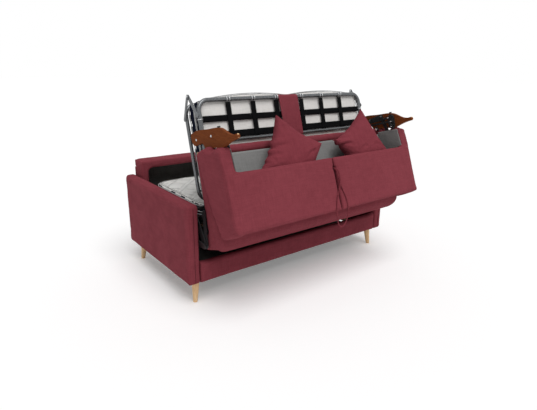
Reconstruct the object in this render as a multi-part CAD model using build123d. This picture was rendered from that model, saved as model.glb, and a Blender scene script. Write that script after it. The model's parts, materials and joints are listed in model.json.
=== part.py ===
from build123d import *
import os
from math import cos, radians, sin

# A sofa bed standing half open: the seat with the folded backrest on it has been tipped up about its
# front edge, and the folded bed stands behind it. Millimetres, x across, y from front to rear, z up.
# The base is drawn where it stands. The tipping unit is drawn as the closed sofa holds it, with the
# seat level, from its own pivot: y towards the rear end of the seat, z up through the cushion.

# The base
sofa_width = 1680.0
base_depth = 900.0
leg_height = 135.0
arm_height = 490.0
arm_thickness = 75.0
arm_round = 24.0
arm_edge_round = 10.0
front_rail_height = 135.0
front_rail_depth = 40.0
front_rail_setback = 5.0
soft_edge = 8.0
back_height = 587.0
back_rail_height = 50.0
back_frame_depth = 136.0
back_rail_underside_round = 14.0
back_wing_width = 58.0
rear_board_depth = 20.0
lining_thickness = 2.5
base_ring_width = 43.0
base_ring_height = 15.0
leg_inset = 76.0
leg_top_radius = 24.0
leg_foot_radius = 13.0
leg_splay = 14.0
leg_plate_side = 78.0
leg_plate_thickness = 4.0
screw_radius = 4.0
screw_head = 2.5

# Gaps between pieces that touch, slide or turn
fit_gap = 0.3
pin_gap = 0.3

# The tipping unit's pivot and lean
pivot_forward = 37.0
pivot_rise = 250.0
lean = 75.0
pivot_pin_radius = 6.0
eye_radius = 19.0
bracket_thickness = 6.0
bracket_reach = 120.0
bracket_height = 34.0
swing_plate_thickness = 5.0
swing_plate_gap = 2.0
seat_plate_thickness = 5.0
seat_plate_reach = 190.0
seat_plate_width = 24.0

# The folding bed, laid out from the crease between its head and middle sections
crease_along = 206.7
bed_plane = 76.0
mattress_thickness = 60.0
bed_side_room = 95.0
mid_length = 633.0
mid_tube_radius = 12.5
thin_tube_radius = 11.0
tube_bend = 62.0
frame_end_inset = 37.0
cross_tube_inset = 270.7
foot_shortfall = 45.0
crease_bulge = 34.0
mattress_side_inset = 20.0
mattress_round = 14.0
fold_clearance = 0.5
mattress_end_room = 1.5
lug_thickness = 4.0
lug_width = 19.0
lug_reach = 120.0

# The head section
head_top_rise = 430.0
head_front = 102.0
head_rear_room = 100.0
head_side_room = 75.0
head_corner = 110.0
guide_front_along = 250.0
guide_rear_room = 210.0
guide_width = 30.0
guide_depth = 13.0
guide_wall = 2.0
guide_slot = 11.0
guide_height = 440.0
block_height = 40.0
block_gap = 0.6
lift_bar_height = 16.0
lift_bar_width = 8.0

# Elastic webbing
web_width = 36.0
web_thickness = 2.5
web_spacing_share = 0.2707
web_first_strap = 105.0
web_band_inset = 143.7
web_low_band_width = 40.0
foot_web_count = 7
rear_web_count = 4
hook_wire = 2.0
hook_opening = -32.0
hook_turn = 244.0
hook_spread = 9.0
strip_width_top = 132.0
strip_width_low = 150.0
strip_thickness = 2.0

# The seat
seat_side_room = 21.0
seat_rear = 519.0
seat_underside = 20.5
seat_board_thickness = 8.0
seat_rear_height = 52.0
seat_dish_height = 92.0
seat_crest_along = 44.0
seat_crest_height = 184.0
seat_front = 31.0
seat_nose_height = 110.0
lip_drop = 57.0
lip_round = 27.0
lip_rear = 40.0
neck_along = 66.0
seat_crown = 6.0
seat_end_share = 0.965
seat_shoulder = 46.0

# The backrest, folded face down on the seat
hinge_along = 531.0
hinge_height = 42.0
back_side_room = 16.0
gusset_width = 65.0
skin_thickness = 4.0
back_foot_along = 534.0
back_foot_height = 62.0
stile_top_along = 511.0
stile_top_height = 296.0
pocket_edge_along = 384.0
pocket_edge_height = 319.0
back_top_along = 62.0
back_top_height = 348.0
back_nose_along = 34.0
back_nose_height = 193.0
front_dish_along = 272.0
front_dish_height = 98.0
front_foot_along = 505.0
panel_thickness = 28.0
panel_slit = 3.0
panel_round = 7.0
pad_thickness = 40.0
pad_setback = 8.0
pad_crown = 4.0
pad_foot_share = 0.045
pad_nose_share = 0.985
pad_deep_share = 0.86
board_end_share = 0.999
back_board_thickness = 10.0
back_rail_along = 488.0
back_rail_top = 112.0
back_rail_round = 8.0

# The hinges at the foot of the backrest
hinge_places_share = (-0.62, 0.0, 0.62)
knuckle_length = 24.0
knuckle_radius = 8.0
hinge_pin_radius = 3.5
leaf_thickness = 3.0
leaf_length = 36.0

# The bent wooden side plates, with their fittings
plate_inset = 55.8
plate_thickness = 18.0
plate_rear = 52.0
plate_rear_room = 22.0
plate_width = 78.0
plate_seat_room = 28.0
plate_tip_height = 402.0
link_thickness = 5.0
link_width = 26.0
knob_radius = 9.0
knob_height = 12.0
knob_up = 238.0
knob_sunk = 20.0
bolt_radius = 6.0

# The two throw pillows in the pocket
pillow_side_share = 0.5556
pillow_thickness = 108.0
pillow_pull_in = 15.0
pillow_shares = ((1.0, 0.0), (0.93, 0.34), (0.78, 0.66), (0.55, 0.88), (0.28, 1.0))
pillow_lean = -7.0
pillow_plane_height = 230.4
pillow_plane_along = 400.0
pillow_left_share = -0.4167
pillow_left_height = 683.0
pillow_left_turn = -32.6
pillow_right_share = 0.6433
pillow_right_height = 680.0
pillow_right_turn = -59.6

# The pull strap, hanging from the slit between the panel halves
# Its route is given as x, the way down from the eye, and the height above the panel's face.
strap_radius = 3.5
strap_eye_radius = 12.0
strap_eye_inset = 66.0
strap_route = [
    (-4.5, 0.4, -28.2),
    (-4.5, -2.0, -1.2),
    (-3.5, 19.0, 19.3),
    (1.0, 56.0, 13.0),
    (9.0, 96.0, 9.4),
    (24.0, 138.0, 9.0),
    (37.0, 184.0, 9.0),
    (42.0, 230.0, 9.0),
    (41.0, 274.0, 1.9),
    (33.0, 308.0, -10.7),
    (17.0, 340.0, -22.0),
    (-10.0, 356.0, -27.5),
    (-37.0, 340.0, -21.5),
    (-51.0, 306.0, -9.0),
    (-57.0, 268.0, 4.9),
    (-53.0, 224.0, 10.9),
    (-40.0, 182.0, 12.0),
    (-21.0, 140.0, 15.5),
    (-3.0, 98.0, 21.7),
    (6.5, 60.0, 24.0),
    (5.5, 19.0, 20.8),
    (4.5, -2.0, -1.2),
    (4.5, 0.4, -28.2),
]

# The foot section's leg hoop
leg_hoop_inset = 48.3
leg_hoop_side_room = 110.0
leg_hoop_radius = 9.0
leg_hoop_drop = 1.5
leg_hoop_shortfall = 108.0
leg_hoop_bend = 60.0
leg_tip_length = 60.0
leg_tip_wall = 1.5

overrun = 20.0

# Worked out from the sizes above
half_width = sofa_width / 2
inner_half = half_width - arm_thickness
bed_half_width = inner_half - bed_side_room
head_half_width = inner_half - head_side_room
seat_half_width = inner_half - seat_side_room
back_half_width = inner_half - back_side_room
arm_top = leg_height + arm_height
back_top = leg_height + back_height
pivot_y = -pivot_forward
pivot_z = leg_height + pivot_rise
head_top = leg_height + head_top_rise
rear_board_front = base_depth - rear_board_depth
back_front = base_depth - back_frame_depth
head_length = base_depth - head_front - head_rear_room
guide_rear_along = base_depth - guide_rear_room
crease_end = crease_along + mid_length
mid_axis = -bed_plane + mattress_thickness + mid_tube_radius
fold_plane = -bed_plane
foot_axis = fold_plane - fold_clearance - mattress_thickness - thin_tube_radius
foot_length = mid_length - foot_shortfall
foot_free_end = crease_end - foot_length
cross_tube_along = crease_end - cross_tube_inset
web_band_along = crease_end - web_band_inset
leg_hoop_pivot = foot_free_end + leg_hoop_inset
leg_hoop_length = foot_length - leg_hoop_shortfall
leg_hoop_half_width = bed_half_width - leg_hoop_side_room
frame_end = crease_end - frame_end_inset
mid_side = bed_half_width - mid_tube_radius
web_strap_spacing = mid_side * web_spacing_share
foot_side = bed_half_width + lug_thickness + fit_gap - thin_tube_radius
swing_x = seat_half_width + seat_plate_thickness + swing_plate_gap
plate_centre = back_half_width - plate_inset
plate_inner = plate_centre - plate_thickness / 2
plate_rear_along = back_foot_along + plate_rear_room
plate_tip_along = plate_rear_along
plate_top_along = plate_rear_along + plate_width
plate_seat_clear = back_foot_along + plate_seat_room
knob_along = plate_top_along - knob_sunk
pocket_half = back_half_width - gusset_width
pillow_side = pocket_half * pillow_side_share
pillow_left_apex = (pocket_half * pillow_left_share, pillow_left_height)
pillow_right_apex = (pocket_half * pillow_right_share, pillow_right_height)
strap_eye_along = pocket_edge_along - strap_eye_inset


def group(*shapes):
    """Several separate solids kept together as one piece."""
    return Compound([solid for shape in shapes for solid in shape.solids()])


def both_sides(shape):
    """A piece and its mirror image on the other side of the sofa."""
    return group(shape, mirror(shape, about=Plane.YZ))


def span_box(x, y, z):
    """A box given by its lowest and highest x, y and z."""
    size = [high - low for low, high in (x, y, z)]
    centre = [(high + low) / 2 for low, high in (x, y, z)]
    return Pos(*centre) * Box(*size)


def outline(*edges):
    """A flat face inside edges that follow one another in the side plane."""
    return Plane.YZ * make_face(Wire([edge for part in edges for edge in part.edges()]))


def prism(face, x_low, x_high):
    """A side outline carried across from one x to another."""
    return Pos(x_low, 0, 0) * extrude(face, x_high - x_low, dir=(1, 0, 0))


def polygon(*points):
    """A side outline of straight edges, given as (y, z) points."""
    return Plane.YZ * make_face(Polyline(*points, close=True))


def bar(start, end, radius):
    """A round bar between two points."""
    axis = Vector(*end) - Vector(*start)
    return Solid.make_cylinder(radius, axis.length, Plane(origin=start, z_dir=axis))


def tube_path(points, bend, radius, close=False):
    """A bent round tube along straight runs joined by arcs."""
    path = FilletPolyline(*points, radius=bend, close=close)
    start = Plane(origin=path @ 0, z_dir=path % 0)
    return sweep(start * Circle(radius), path=path)


def tube_frame(side, low, high, z, bend, radius):
    """A closed rectangular frame of bent tube, lying level."""
    run = [(0, low, z), (side, low, z), (side, high, z), (0, high, z)]
    half = tube_path(run, bend, radius)
    return half + mirror(half, about=Plane.YZ)


def tilted(shape):
    """Sets a piece of the tipping unit in the half open pose."""
    return Pos(0, pivot_y, pivot_z) * Rot(lean, 0, 0) * shape


def tilted_point(x, along, up):
    """The place in the half open pose of a point of the tipping unit."""
    turn = radians(lean)
    return (
        x,
        pivot_y + along * cos(turn) - up * sin(turn),
        pivot_z + along * sin(turn) + up * cos(turn),
    )


def eye_plate(a, b, radius_a, radius_b, x_low, x_high):
    """A flat link with round ends about two points in the side plane."""
    ends = [Pos(*a) * Circle(radius_a), Pos(*b) * Circle(radius_b)]
    shape = make_hull([edge for end in ends for edge in end.edges()])
    return prism(Plane.YZ * shape, x_low, x_high)


def hole_x(point, radius, x_low, x_high):
    """A drill across the sofa, to be taken from a plate."""
    return bar((x_low, *point), (x_high, *point), radius)


def arm():
    """The right arm, a slim padded board with a soft top."""
    section = Pos((inner_half + half_width) / 2, (leg_height + arm_top) / 2) * Rectangle(
        arm_thickness, arm_height
    )
    top = section.vertices().group_by(Axis.Y)[-1]
    body = extrude(Plane.XZ * fillet(top, arm_round), -base_depth)
    ends = body.faces().sort_by(Axis.Y)
    return fillet(ends[0].edges() + ends[-1].edges(), arm_edge_round)


def front_rail():
    """The padded front board between the arms."""
    y = (front_rail_setback, front_rail_setback + front_rail_depth)
    body = span_box((-inner_half, inner_half), y, (leg_height, leg_height + front_rail_height))
    return fillet(body.edges().filter_by(Axis.X).sort_by(Axis.Y)[:2], soft_edge)


def back_frame():
    """The fixed back between the arms: a padded top rail on two wings."""
    rail_low = back_top - back_rail_height
    y = (back_front, base_depth)
    rail = span_box((-inner_half, inner_half), y, (rail_low, back_top))
    rail = fillet(rail.edges().filter_by(Axis.X).group_by(Axis.Z)[-1], soft_edge)
    low_front = rail.edges().filter_by(Axis.X).group_by(Axis.Z)[0].sort_by(Axis.Y)[0]
    rail = fillet(low_front, back_rail_underside_round)
    wing = span_box(
        (inner_half - back_wing_width, inner_half),
        (back_front, rear_board_front),
        (leg_height + base_ring_height, rail_low + overrun),
    )
    return rail + wing + mirror(wing, about=Plane.YZ)


def rear_board():
    """The padded board that closes the back of the sofa."""
    z = (leg_height, back_top - back_rail_height)
    return span_box((-inner_half, inner_half), (rear_board_front, base_depth), z)


def back_lining():
    """The black lining inside the recess of the fixed back."""
    half = inner_half - back_wing_width
    y = (rear_board_front - lining_thickness, rear_board_front)
    return span_box((-half, half), y, (leg_height + base_ring_height, back_top - back_rail_height))


def base_ring():
    """The wooden ring that ties arms, front rail and rear board together at the bottom."""
    front = front_rail_setback + front_rail_depth
    z = (leg_height, leg_height + base_ring_height)
    ring = span_box((-inner_half, inner_half), (front, rear_board_front), z)
    cut_half = inner_half - base_ring_width
    cut_y = (front + base_ring_width, rear_board_front - base_ring_width)
    return ring - span_box((-cut_half, cut_half), cut_y, (z[0] - overrun, z[1] + overrun))


def bottom_lining():
    """The black sheet stapled under the base."""
    half = inner_half - base_ring_width - overrun
    front = front_rail_setback + front_rail_depth + base_ring_width
    y = (front - overrun, rear_board_front - base_ring_width + overrun)
    return span_box((-half, half), y, (leg_height - lining_thickness, leg_height))


def leg_places():
    """The four corners where legs stand, as (x, y, side, end) with signs outwards."""
    x = half_width - leg_inset
    ys = ((leg_inset, -1), (base_depth - leg_inset, 1))
    return [(side * x, y, side, end) for side in (-1, 1) for y, end in ys]


def leg(x, y, side, end):
    """A turned wooden leg, tapered and leaning out to its corner."""
    top = leg_height - leg_plate_thickness
    upper = Plane.XY.offset(top) * Pos(x, y) * Circle(leg_top_radius)
    lower = Pos(x + side * leg_splay, y + end * leg_splay) * Circle(leg_foot_radius)
    return loft([lower, upper])


def leg_plate(x, y):
    """The steel plate that a leg screws into, with its four screw heads."""
    top = leg_height
    plate = Pos(x, y, top - leg_plate_thickness / 2) * Box(
        leg_plate_side, leg_plate_side, leg_plate_thickness
    )
    reach = leg_plate_side / 2 - 2 * screw_radius
    for dx in (-reach, reach):
        for dy in (-reach, reach):
            foot = (x + dx, y + dy, top - leg_plate_thickness - screw_head)
            plate += bar(foot, (x + dx, y + dy, top - leg_plate_thickness), screw_radius)
    return plate


def pivot_bracket():
    """The right bracket on the arm's inner face that holds the seat pivot."""
    x = (inner_half - bracket_thickness, inner_half)
    z = (pivot_z - bracket_height / 2, pivot_z + bracket_height / 2)
    strap = span_box(x, (pivot_y, bracket_reach), z)
    strap += bar((x[0], pivot_y, pivot_z), (x[1], pivot_y, pivot_z), bracket_height / 2)
    for y in (bracket_reach / 3, bracket_reach * 5 / 6):
        strap += bar((x[0] - screw_head, y, pivot_z), (x[0], y, pivot_z), screw_radius)
    hole = hole_x((pivot_y, pivot_z), pivot_pin_radius + pin_gap, x[0] - overrun, x[1] + overrun)
    return strap - hole


def lift_guide(y):
    """A steel channel on the right arm's inner face that guides the head section."""
    outer = Pos(inner_half - guide_depth / 2, y) * Rectangle(guide_depth, guide_width)
    room = Pos(inner_half - guide_depth / 2, y) * Rectangle(
        guide_depth - 2 * guide_wall, guide_width - 2 * guide_wall
    )
    slot = Pos(inner_half - guide_depth, y) * Rectangle(guide_depth, guide_slot)
    return Pos(0, 0, leg_height + base_ring_height) * extrude(outer - room - slot, guide_height)


def head_z():
    """The undersides of the head mattress and of its frame tube."""
    return head_top - mattress_thickness, head_top - mattress_thickness - 2 * thin_tube_radius


def head_frame():
    """The tube frame under the head mattress, with bars out to its slide blocks."""
    z = head_z()[0] - thin_tube_radius
    side = head_half_width - thin_tube_radius
    low, high = head_front + thin_tube_radius, head_front + head_length - thin_tube_radius
    frame = tube_frame(side, low, high, z, head_corner - thin_tube_radius, thin_tube_radius)
    for y in (guide_front_along, guide_rear_along):
        near = head_half_width - mattress_side_inset / 2 + fit_gap
        x = (near, inner_half - guide_depth + guide_wall + block_gap)
        half = lift_bar_width / 2
        bar_z = (z + thin_tube_radius / 3, z + thin_tube_radius / 3 + lift_bar_height)
        right = span_box(x, (y - half, y + half), bar_z)
        frame += right + mirror(right, about=Plane.YZ)
    return frame


def lift_blocks():
    """The four plastic blocks that run in the guides."""
    z = head_z()[0] - thin_tube_radius * 0.75
    low = inner_half - guide_depth + guide_wall + block_gap
    high = inner_half - guide_wall - block_gap
    half = guide_width / 2 - guide_wall - block_gap
    blocks = []
    for y in (guide_front_along, guide_rear_along):
        blocks.append(span_box((low, high), (y - half, y + half), (z, z + block_height)))
    return both_sides(group(*blocks))


def rounded_slab(half, low, high, z_low, z_high, corner, edge):
    """A mattress block with rounded corners in plan and soft long edges."""
    plan = Pos(0, (low + high) / 2) * RectangleRounded(2 * half, high - low, corner)
    body = Pos(0, 0, z_low) * extrude(plan, z_high - z_low)
    return fillet(body.faces().sort_by(Axis.Z)[-1].edges(), edge)


def head_mattress():
    """The quilted mattress of the head section."""
    half = head_half_width - mattress_side_inset / 2
    low, high = head_front, head_front + head_length
    return rounded_slab(half, low, high, head_z()[0], head_top, head_corner, mattress_round)


def strap_rows(low, high, z, half, count):
    """Elastic straps across a frame at even steps."""
    step = (high - low) / (count + 1)
    rows = []
    for n in range(count):
        y = low + step * (n + 1)
        size = (y - web_width / 2, y + web_width / 2)
        rows.append(span_box((-half, half), size, (z, z + web_thickness)))
    return group(*rows)


def head_webbing():
    """The straps that carry the head mattress."""
    low, high = head_front + 2 * thin_tube_radius, head_front + head_length - 2 * thin_tube_radius
    half = head_half_width - 2 * thin_tube_radius - fit_gap
    return strap_rows(low, high, head_z()[0] - web_thickness - fit_gap, half, foot_web_count)


def mid_frame():
    """The tube frame of the middle section, with its cross tube and hinge lugs."""
    low = crease_along + mid_tube_radius + overrun / 2
    frame = tube_frame(mid_side, low, frame_end, mid_axis, tube_bend, mid_tube_radius)
    cross = bar(
        (-mid_side, cross_tube_along, mid_axis),
        (mid_side, cross_tube_along, mid_axis),
        mid_tube_radius * 0.8,
    )
    lug_x = (bed_half_width - lug_thickness / 2, bed_half_width + lug_thickness)
    near = (crease_along, fold_plane)
    far = (crease_end, fold_plane)
    lugs = eye_plate(near, (crease_along + lug_reach, mid_axis), lug_width / 2, mid_tube_radius, *lug_x)
    lugs += eye_plate(far, (crease_end - lug_reach, mid_axis), lug_width / 2, mid_tube_radius, *lug_x)
    lugs -= hole_x(near, pivot_pin_radius + pin_gap, lug_x[0] - overrun, lug_x[1] + overrun)
    lugs -= hole_x(far, pivot_pin_radius, lug_x[0] - overrun, lug_x[1] + overrun)
    return frame + cross + lugs + mirror(lugs, about=Plane.YZ)


def web_strap_places():
    """The middle lines of the lengthwise straps on the right half of the middle section."""
    return [web_first_strap + n * web_strap_spacing for n in range(3)]


def mid_webbing():
    """The woven elastic straps of the middle section, lengthwise over crosswise."""
    grip = mid_tube_radius + 2 * hook_wire + 2 * fit_gap
    low_band = cross_tube_along + mid_tube_radius
    z = mid_axis
    half = web_width / 2
    straps = []
    for x in web_strap_places():
        straps.append(span_box((x - half, x + half), (low_band, frame_end - grip), (z, z + web_thickness)))
    band_z = (z - web_thickness - fit_gap, z - fit_gap)
    reach = mid_side - grip
    band = span_box((-reach, reach), (web_band_along - half, web_band_along + half), band_z)
    reach = mid_side - mid_tube_radius - fit_gap
    low = span_box((-reach, reach), (low_band, low_band + web_low_band_width), band_z)
    rear = strap_rows(crease_along + tube_bend, cross_tube_along, z, reach, rear_web_count)
    return group(both_sides(group(*straps)), band, low, rear)


def webbing_hooks():
    """The open wire hooks that hang the straps on the top tube and the side tubes."""
    wrap = CenterArc((0, 0), mid_tube_radius + hook_wire + fit_gap, hook_opening, hook_turn)
    wire = sweep(Plane(origin=wrap @ 0, z_dir=wrap % 0) * Circle(hook_wire), path=wrap)
    hooks = []
    for x in web_strap_places():
        for step in (-hook_spread, hook_spread):
            hooks.append(Pos(x + step, frame_end, mid_axis) * (Plane.YZ * wire))
    hooks.append(Pos(mid_side, web_band_along, mid_axis) * (Plane.XZ * wire))
    return both_sides(group(*hooks))


def bulged_plan(half, near, far, corner):
    """A mattress plan whose far end swells in two soft arcs, one on each side of the middle strap."""
    shoulder = far - crease_bulge
    waist = far - crease_bulge / 2
    right = [(half, near), (half, shoulder)]
    swell = ThreePointArc((half, shoulder), (half / 2, far), (0, waist))
    other = ThreePointArc((0, waist), (-half / 2, far), (-half, shoulder))
    sides = [Line(*right), Line((-half, shoulder), (-half, near)), Line((-half, near), (half, near))]
    face = make_face(Wire([edge for part in (swell, other, *sides) for edge in part.edges()]))
    return fillet(face.vertices().group_by(Axis.Y)[0], corner)


def mid_mattress():
    """The mattress of the middle section, on the far side of its frame."""
    half = bed_half_width - mattress_side_inset
    plan = bulged_plan(half, crease_along + overrun / 4, crease_end - mattress_end_room, mattress_round)
    top = mid_axis - mid_tube_radius
    body = Pos(0, 0, fold_plane + fold_clearance) * extrude(plan, top - fold_plane - fold_clearance)
    return body


def centre_strip():
    """The cloth strip down the middle of the bed frame, hung over its top tube."""
    z = mid_axis + mid_tube_radius + fit_gap
    far = frame_end + mid_tube_radius + fit_gap
    low = cross_tube_along - mid_tube_radius
    plan = make_face(
        Polyline(
            (-strip_width_low / 2, low), (strip_width_low / 2, low),
            (strip_width_top / 2, far), (-strip_width_top / 2, far), close=True,
        )
    )
    front = Pos(0, 0, z) * extrude(plan, strip_thickness)
    hang = span_box(
        (-strip_width_top / 2, strip_width_top / 2),
        (far, far + strip_thickness),
        (mid_axis - mid_tube_radius, z + strip_thickness),
    )
    return front + hang


def foot_frame():
    """The tube frame of the foot section, folded behind the middle one."""
    low = foot_free_end - thin_tube_radius
    frame = tube_frame(foot_side, low, frame_end, foot_axis, tube_bend, thin_tube_radius)
    lug_x = (bed_half_width + lug_thickness + fit_gap, bed_half_width + 2 * lug_thickness + fit_gap)
    far = (crease_end, fold_plane)
    lug = eye_plate(
        far, (crease_end - lug_reach, foot_axis), lug_width / 2, thin_tube_radius,
        lug_x[0] - lug_thickness / 2, lug_x[1],
    )
    clear = span_box(
        (lug_x[0] - lug_thickness, lug_x[0]), (0, crease_end * 2), (foot_axis + lug_width / 2, hinge_along)
    )
    lug = lug - clear
    lug -= hole_x(far, pivot_pin_radius + pin_gap, lug_x[0] - overrun, lug_x[1] + overrun)
    ear = (leg_hoop_pivot, foot_axis - leg_hoop_drop)
    ear_x = (leg_hoop_half_width + leg_hoop_radius + fit_gap, foot_side)
    arm_bar = bar((ear_x[0], *ear), (ear_x[1], *ear), pivot_pin_radius)
    right = lug + arm_bar
    return frame + right + mirror(right, about=Plane.YZ)


def foot_webbing():
    """The straps that carry the foot mattress."""
    low, high = foot_free_end + thin_tube_radius, frame_end - thin_tube_radius
    z = foot_axis + thin_tube_radius - web_thickness - fit_gap
    half = foot_side - thin_tube_radius - fit_gap
    return strap_rows(low, high, z, half, foot_web_count)


def foot_mattress():
    """The mattress of the foot section, face to face with the middle one."""
    half = bed_half_width - mattress_side_inset
    plan = bulged_plan(half, foot_free_end, crease_end - mattress_end_room, mattress_round)
    low = foot_axis + thin_tube_radius
    return Pos(0, 0, low) * extrude(plan, fold_plane - low - fold_clearance)


def foot_leg():
    """The folding leg hoop of the foot section."""
    z = foot_axis - leg_hoop_drop
    far = leg_hoop_pivot + leg_hoop_length
    points = [
        (leg_hoop_half_width, leg_hoop_pivot, z), (leg_hoop_half_width, far, z),
        (-leg_hoop_half_width, far, z), (-leg_hoop_half_width, leg_hoop_pivot, z),
    ]
    hoop = tube_path(points, leg_hoop_bend, leg_hoop_radius)
    eye = bar(
        (leg_hoop_half_width - leg_hoop_radius, leg_hoop_pivot, z),
        (leg_hoop_half_width + leg_hoop_radius, leg_hoop_pivot, z),
        leg_hoop_radius,
    )
    return hoop + eye + mirror(eye, about=Plane.YZ)


def leg_tips():
    """The rubber sleeves on the leg hoop where it stands on the floor."""
    y = leg_hoop_pivot + leg_hoop_length
    x = leg_hoop_half_width - leg_hoop_bend - leg_tip_length
    z = foot_axis - leg_hoop_drop
    sleeve = bar((x, y, z), (x + leg_tip_length, y, z), leg_hoop_radius + leg_tip_wall)
    core = bar((x - overrun, y, z), (half_width, y, z), leg_hoop_radius)
    return both_sides(sleeve - core)


def seat_section(share, crown):
    """The seat cushion's side outline, drawn in by a share about its underside, with a crown on top."""
    centre = (seat_rear / 2, seat_underside)

    def at(along, up, lift=0.0):
        return (
            centre[0] + (along - centre[0]) * share,
            centre[1] + (up + lift - centre[1]) * share,
        )

    rear_low = at(seat_rear, seat_underside)
    rear_top = at(seat_rear, seat_rear_height)
    dish = at(seat_rear / 2, seat_dish_height, crown)
    crest = at(seat_crest_along, seat_crest_height, crown / 2)
    brow = at(-seat_front / 2, (seat_crest_height + seat_nose_height) / 2 + seat_front / 3, crown / 2)
    nose = at(-seat_front, seat_nose_height)
    chin = at(-seat_front, lip_round - lip_drop)
    curl = at(-seat_front + lip_round * 0.29, -lip_drop + lip_round * 0.29)
    lip_low = at(-seat_front + lip_round, -lip_drop)
    lip_back = at(lip_rear - lip_round / 2, -lip_drop)
    lip_side = at(lip_rear, -lip_drop / 2)
    neck = at(neck_along, seat_underside)
    return [
        Line(rear_low, rear_top),
        ThreePointArc(rear_top, dish, crest),
        ThreePointArc(crest, brow, nose),
        Line(nose, chin),
        ThreePointArc(chin, curl, lip_low),
        Line(lip_low, lip_back),
        ThreePointArc(lip_back, lip_side, neck),
        Line(neck, rear_low),
    ]


def crowned_loft(section, half, shoulder, end_share, crown):
    """A cushion whose ends round over like a quarter circle and whose middle is crowned."""
    stations = [(0, 1, crown), (half / 2, 1, crown * 0.75), (half - shoulder, 1, 0)]
    for turn in (30, 60, 90):
        x = half - shoulder + shoulder * sin(radians(turn))
        stations.append((x, end_share + (1 - end_share) * cos(radians(turn)), 0))
    stations = [(-x, share, lift) for x, share, lift in stations[:0:-1]] + stations
    faces = [Pos(x, 0, 0) * outline(*section(share, lift)) for x, share, lift in stations]
    return loft(faces, ruled=True)


def seat_cushion():
    """The upholstered seat, thin at its rear end and with a rolled lip in front."""
    return crowned_loft(seat_section, seat_half_width, seat_shoulder, seat_end_share, seat_crown)


def seat_board():
    """The plywood board under the seat cushion."""
    half = seat_half_width - seat_shoulder / 2
    z = (seat_underside - fit_gap - seat_board_thickness, seat_underside - fit_gap)
    board = span_box((-half, half), (neck_along + overrun / 2, seat_rear), z)
    return fillet(board.edges().filter_by(Axis.Z), seat_board_thickness)


def seat_plate():
    """The steel plate on the right end of the seat that turns on the pivot pin."""
    x = (seat_half_width + fit_gap, seat_half_width + seat_plate_thickness)
    tail = (seat_plate_reach, seat_underside + seat_plate_width / 2)
    plate = eye_plate((0, 0), tail, eye_radius, seat_plate_width / 2, *x)
    foot = span_box(
        (seat_half_width - seat_shoulder / 2, x[1]),
        (neck_along + overrun / 2, seat_plate_reach),
        (seat_underside - fit_gap - seat_board_thickness - leaf_thickness,
         seat_underside - fit_gap - seat_board_thickness),
    )
    web = span_box(
        x, (neck_along + overrun / 2, seat_plate_reach),
        (seat_underside - fit_gap - seat_board_thickness - leaf_thickness, tail[1]),
    )
    plate = plate + web + foot
    return plate - hole_x((0, 0), pivot_pin_radius + pin_gap, x[0] - overrun, x[1] + overrun)


def swing_plate():
    """The right carrier plate, from the seat pivot to the crease of the bed."""
    x = (swing_x, swing_x + swing_plate_thickness)
    return eye_plate((0, 0), (crease_along, fold_plane), eye_radius, eye_radius, *x)


def pivot_pins():
    """The pins of the carrier: one through the seat pivot and one through the crease, each side."""
    seat_pin = hole_x((0, 0), pivot_pin_radius, seat_half_width + fit_gap, swing_x)
    outer_pin = hole_x((0, 0), pivot_pin_radius, swing_x + swing_plate_thickness, inner_half - fit_gap)
    crease_pin = hole_x(
        (crease_along, fold_plane), pivot_pin_radius, bed_half_width - lug_thickness / 2, swing_x
    )
    collar = hole_x(
        (crease_along, fold_plane), pivot_pin_radius * 1.6, bed_half_width + lug_thickness + fit_gap, swing_x
    )
    return both_sides(group(seat_pin, outer_pin, crease_pin + collar))


def fold_pins():
    """The pins that join the middle and foot sections."""
    x = (bed_half_width - lug_thickness / 2, bed_half_width + 2 * lug_thickness + fit_gap)
    return both_sides(hole_x((crease_end, fold_plane), pivot_pin_radius, *x))


def front_arc(setback):
    """The face of the backrest that lies on the seat, or a layer behind it, from foot to nose."""
    return ThreePointArc(
        (front_foot_along, back_foot_height + setback),
        (front_dish_along, front_dish_height + setback),
        (back_nose_along, back_nose_height + setback),
    ).edge()


def panel_height(along, depth=0.0):
    """How high the rear panel's face, or a layer under it, stands at some place along."""
    slope = (pocket_edge_height - back_top_height) / (pocket_edge_along - back_top_along)
    return back_top_height + slope * (along - back_top_along) - depth


def gusset_outline():
    """The backrest's whole end outline, from the hinge round the nose to the stile top."""
    front = front_arc(0)
    corners = [
        front @ 1, (back_top_along, back_top_height), (pocket_edge_along, pocket_edge_height),
        (stile_top_along, stile_top_height), (back_foot_along, back_foot_height), front @ 0,
    ]
    return outline(front, Polyline(*corners))


def under_panel():
    """The room that the rear panel takes from the gussets."""
    layer = panel_thickness + fit_gap
    low, high = -overrun, pocket_edge_along + fit_gap
    return polygon(
        (low, panel_height(low, layer)), (high, panel_height(high, layer)),
        (high, back_top_height * 2), (low, back_top_height * 2),
    )


def gusset():
    """The right end of the backrest: a padded end with its stile beside the pocket."""
    body = prism(gusset_outline(), pocket_half, back_half_width)
    body -= prism(under_panel(), 0, half_width)
    return body - prism(pad_face(0.0, fit_gap), 0, back_half_width - skin_thickness)


def inner_arc(depth=0.0):
    """The inner face of the front pad, or a layer behind it, from its foot to the top pad."""
    return front_arc(pad_setback + pad_thickness + depth).trim(pad_foot_share, pad_deep_share)


def pad_face(drop, grow=0.0):
    """The side outline of the front pad, its face set back by a drop, grown all round."""
    more = grow / (front_foot_along - back_nose_along)
    nose = pad_nose_share + (grow - drop) / (front_foot_along - back_nose_along)
    front = front_arc(pad_setback - pad_crown + drop - grow).trim(pad_foot_share - more, nose)
    inner = front_arc(pad_setback + pad_thickness + grow).trim(pad_foot_share - more, pad_deep_share - more)
    top = panel_thickness + 2 * fit_gap - grow
    outer = back_top_along + skin_thickness - grow
    deep = (inner @ 1).X - fit_gap + grow
    ends = Polyline(front @ 1, (outer, panel_height(outer, top)), (deep, panel_height(deep, top)), inner @ 1)
    return outline(front, ends, inner, Line(inner @ 0, front @ 0))


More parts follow.
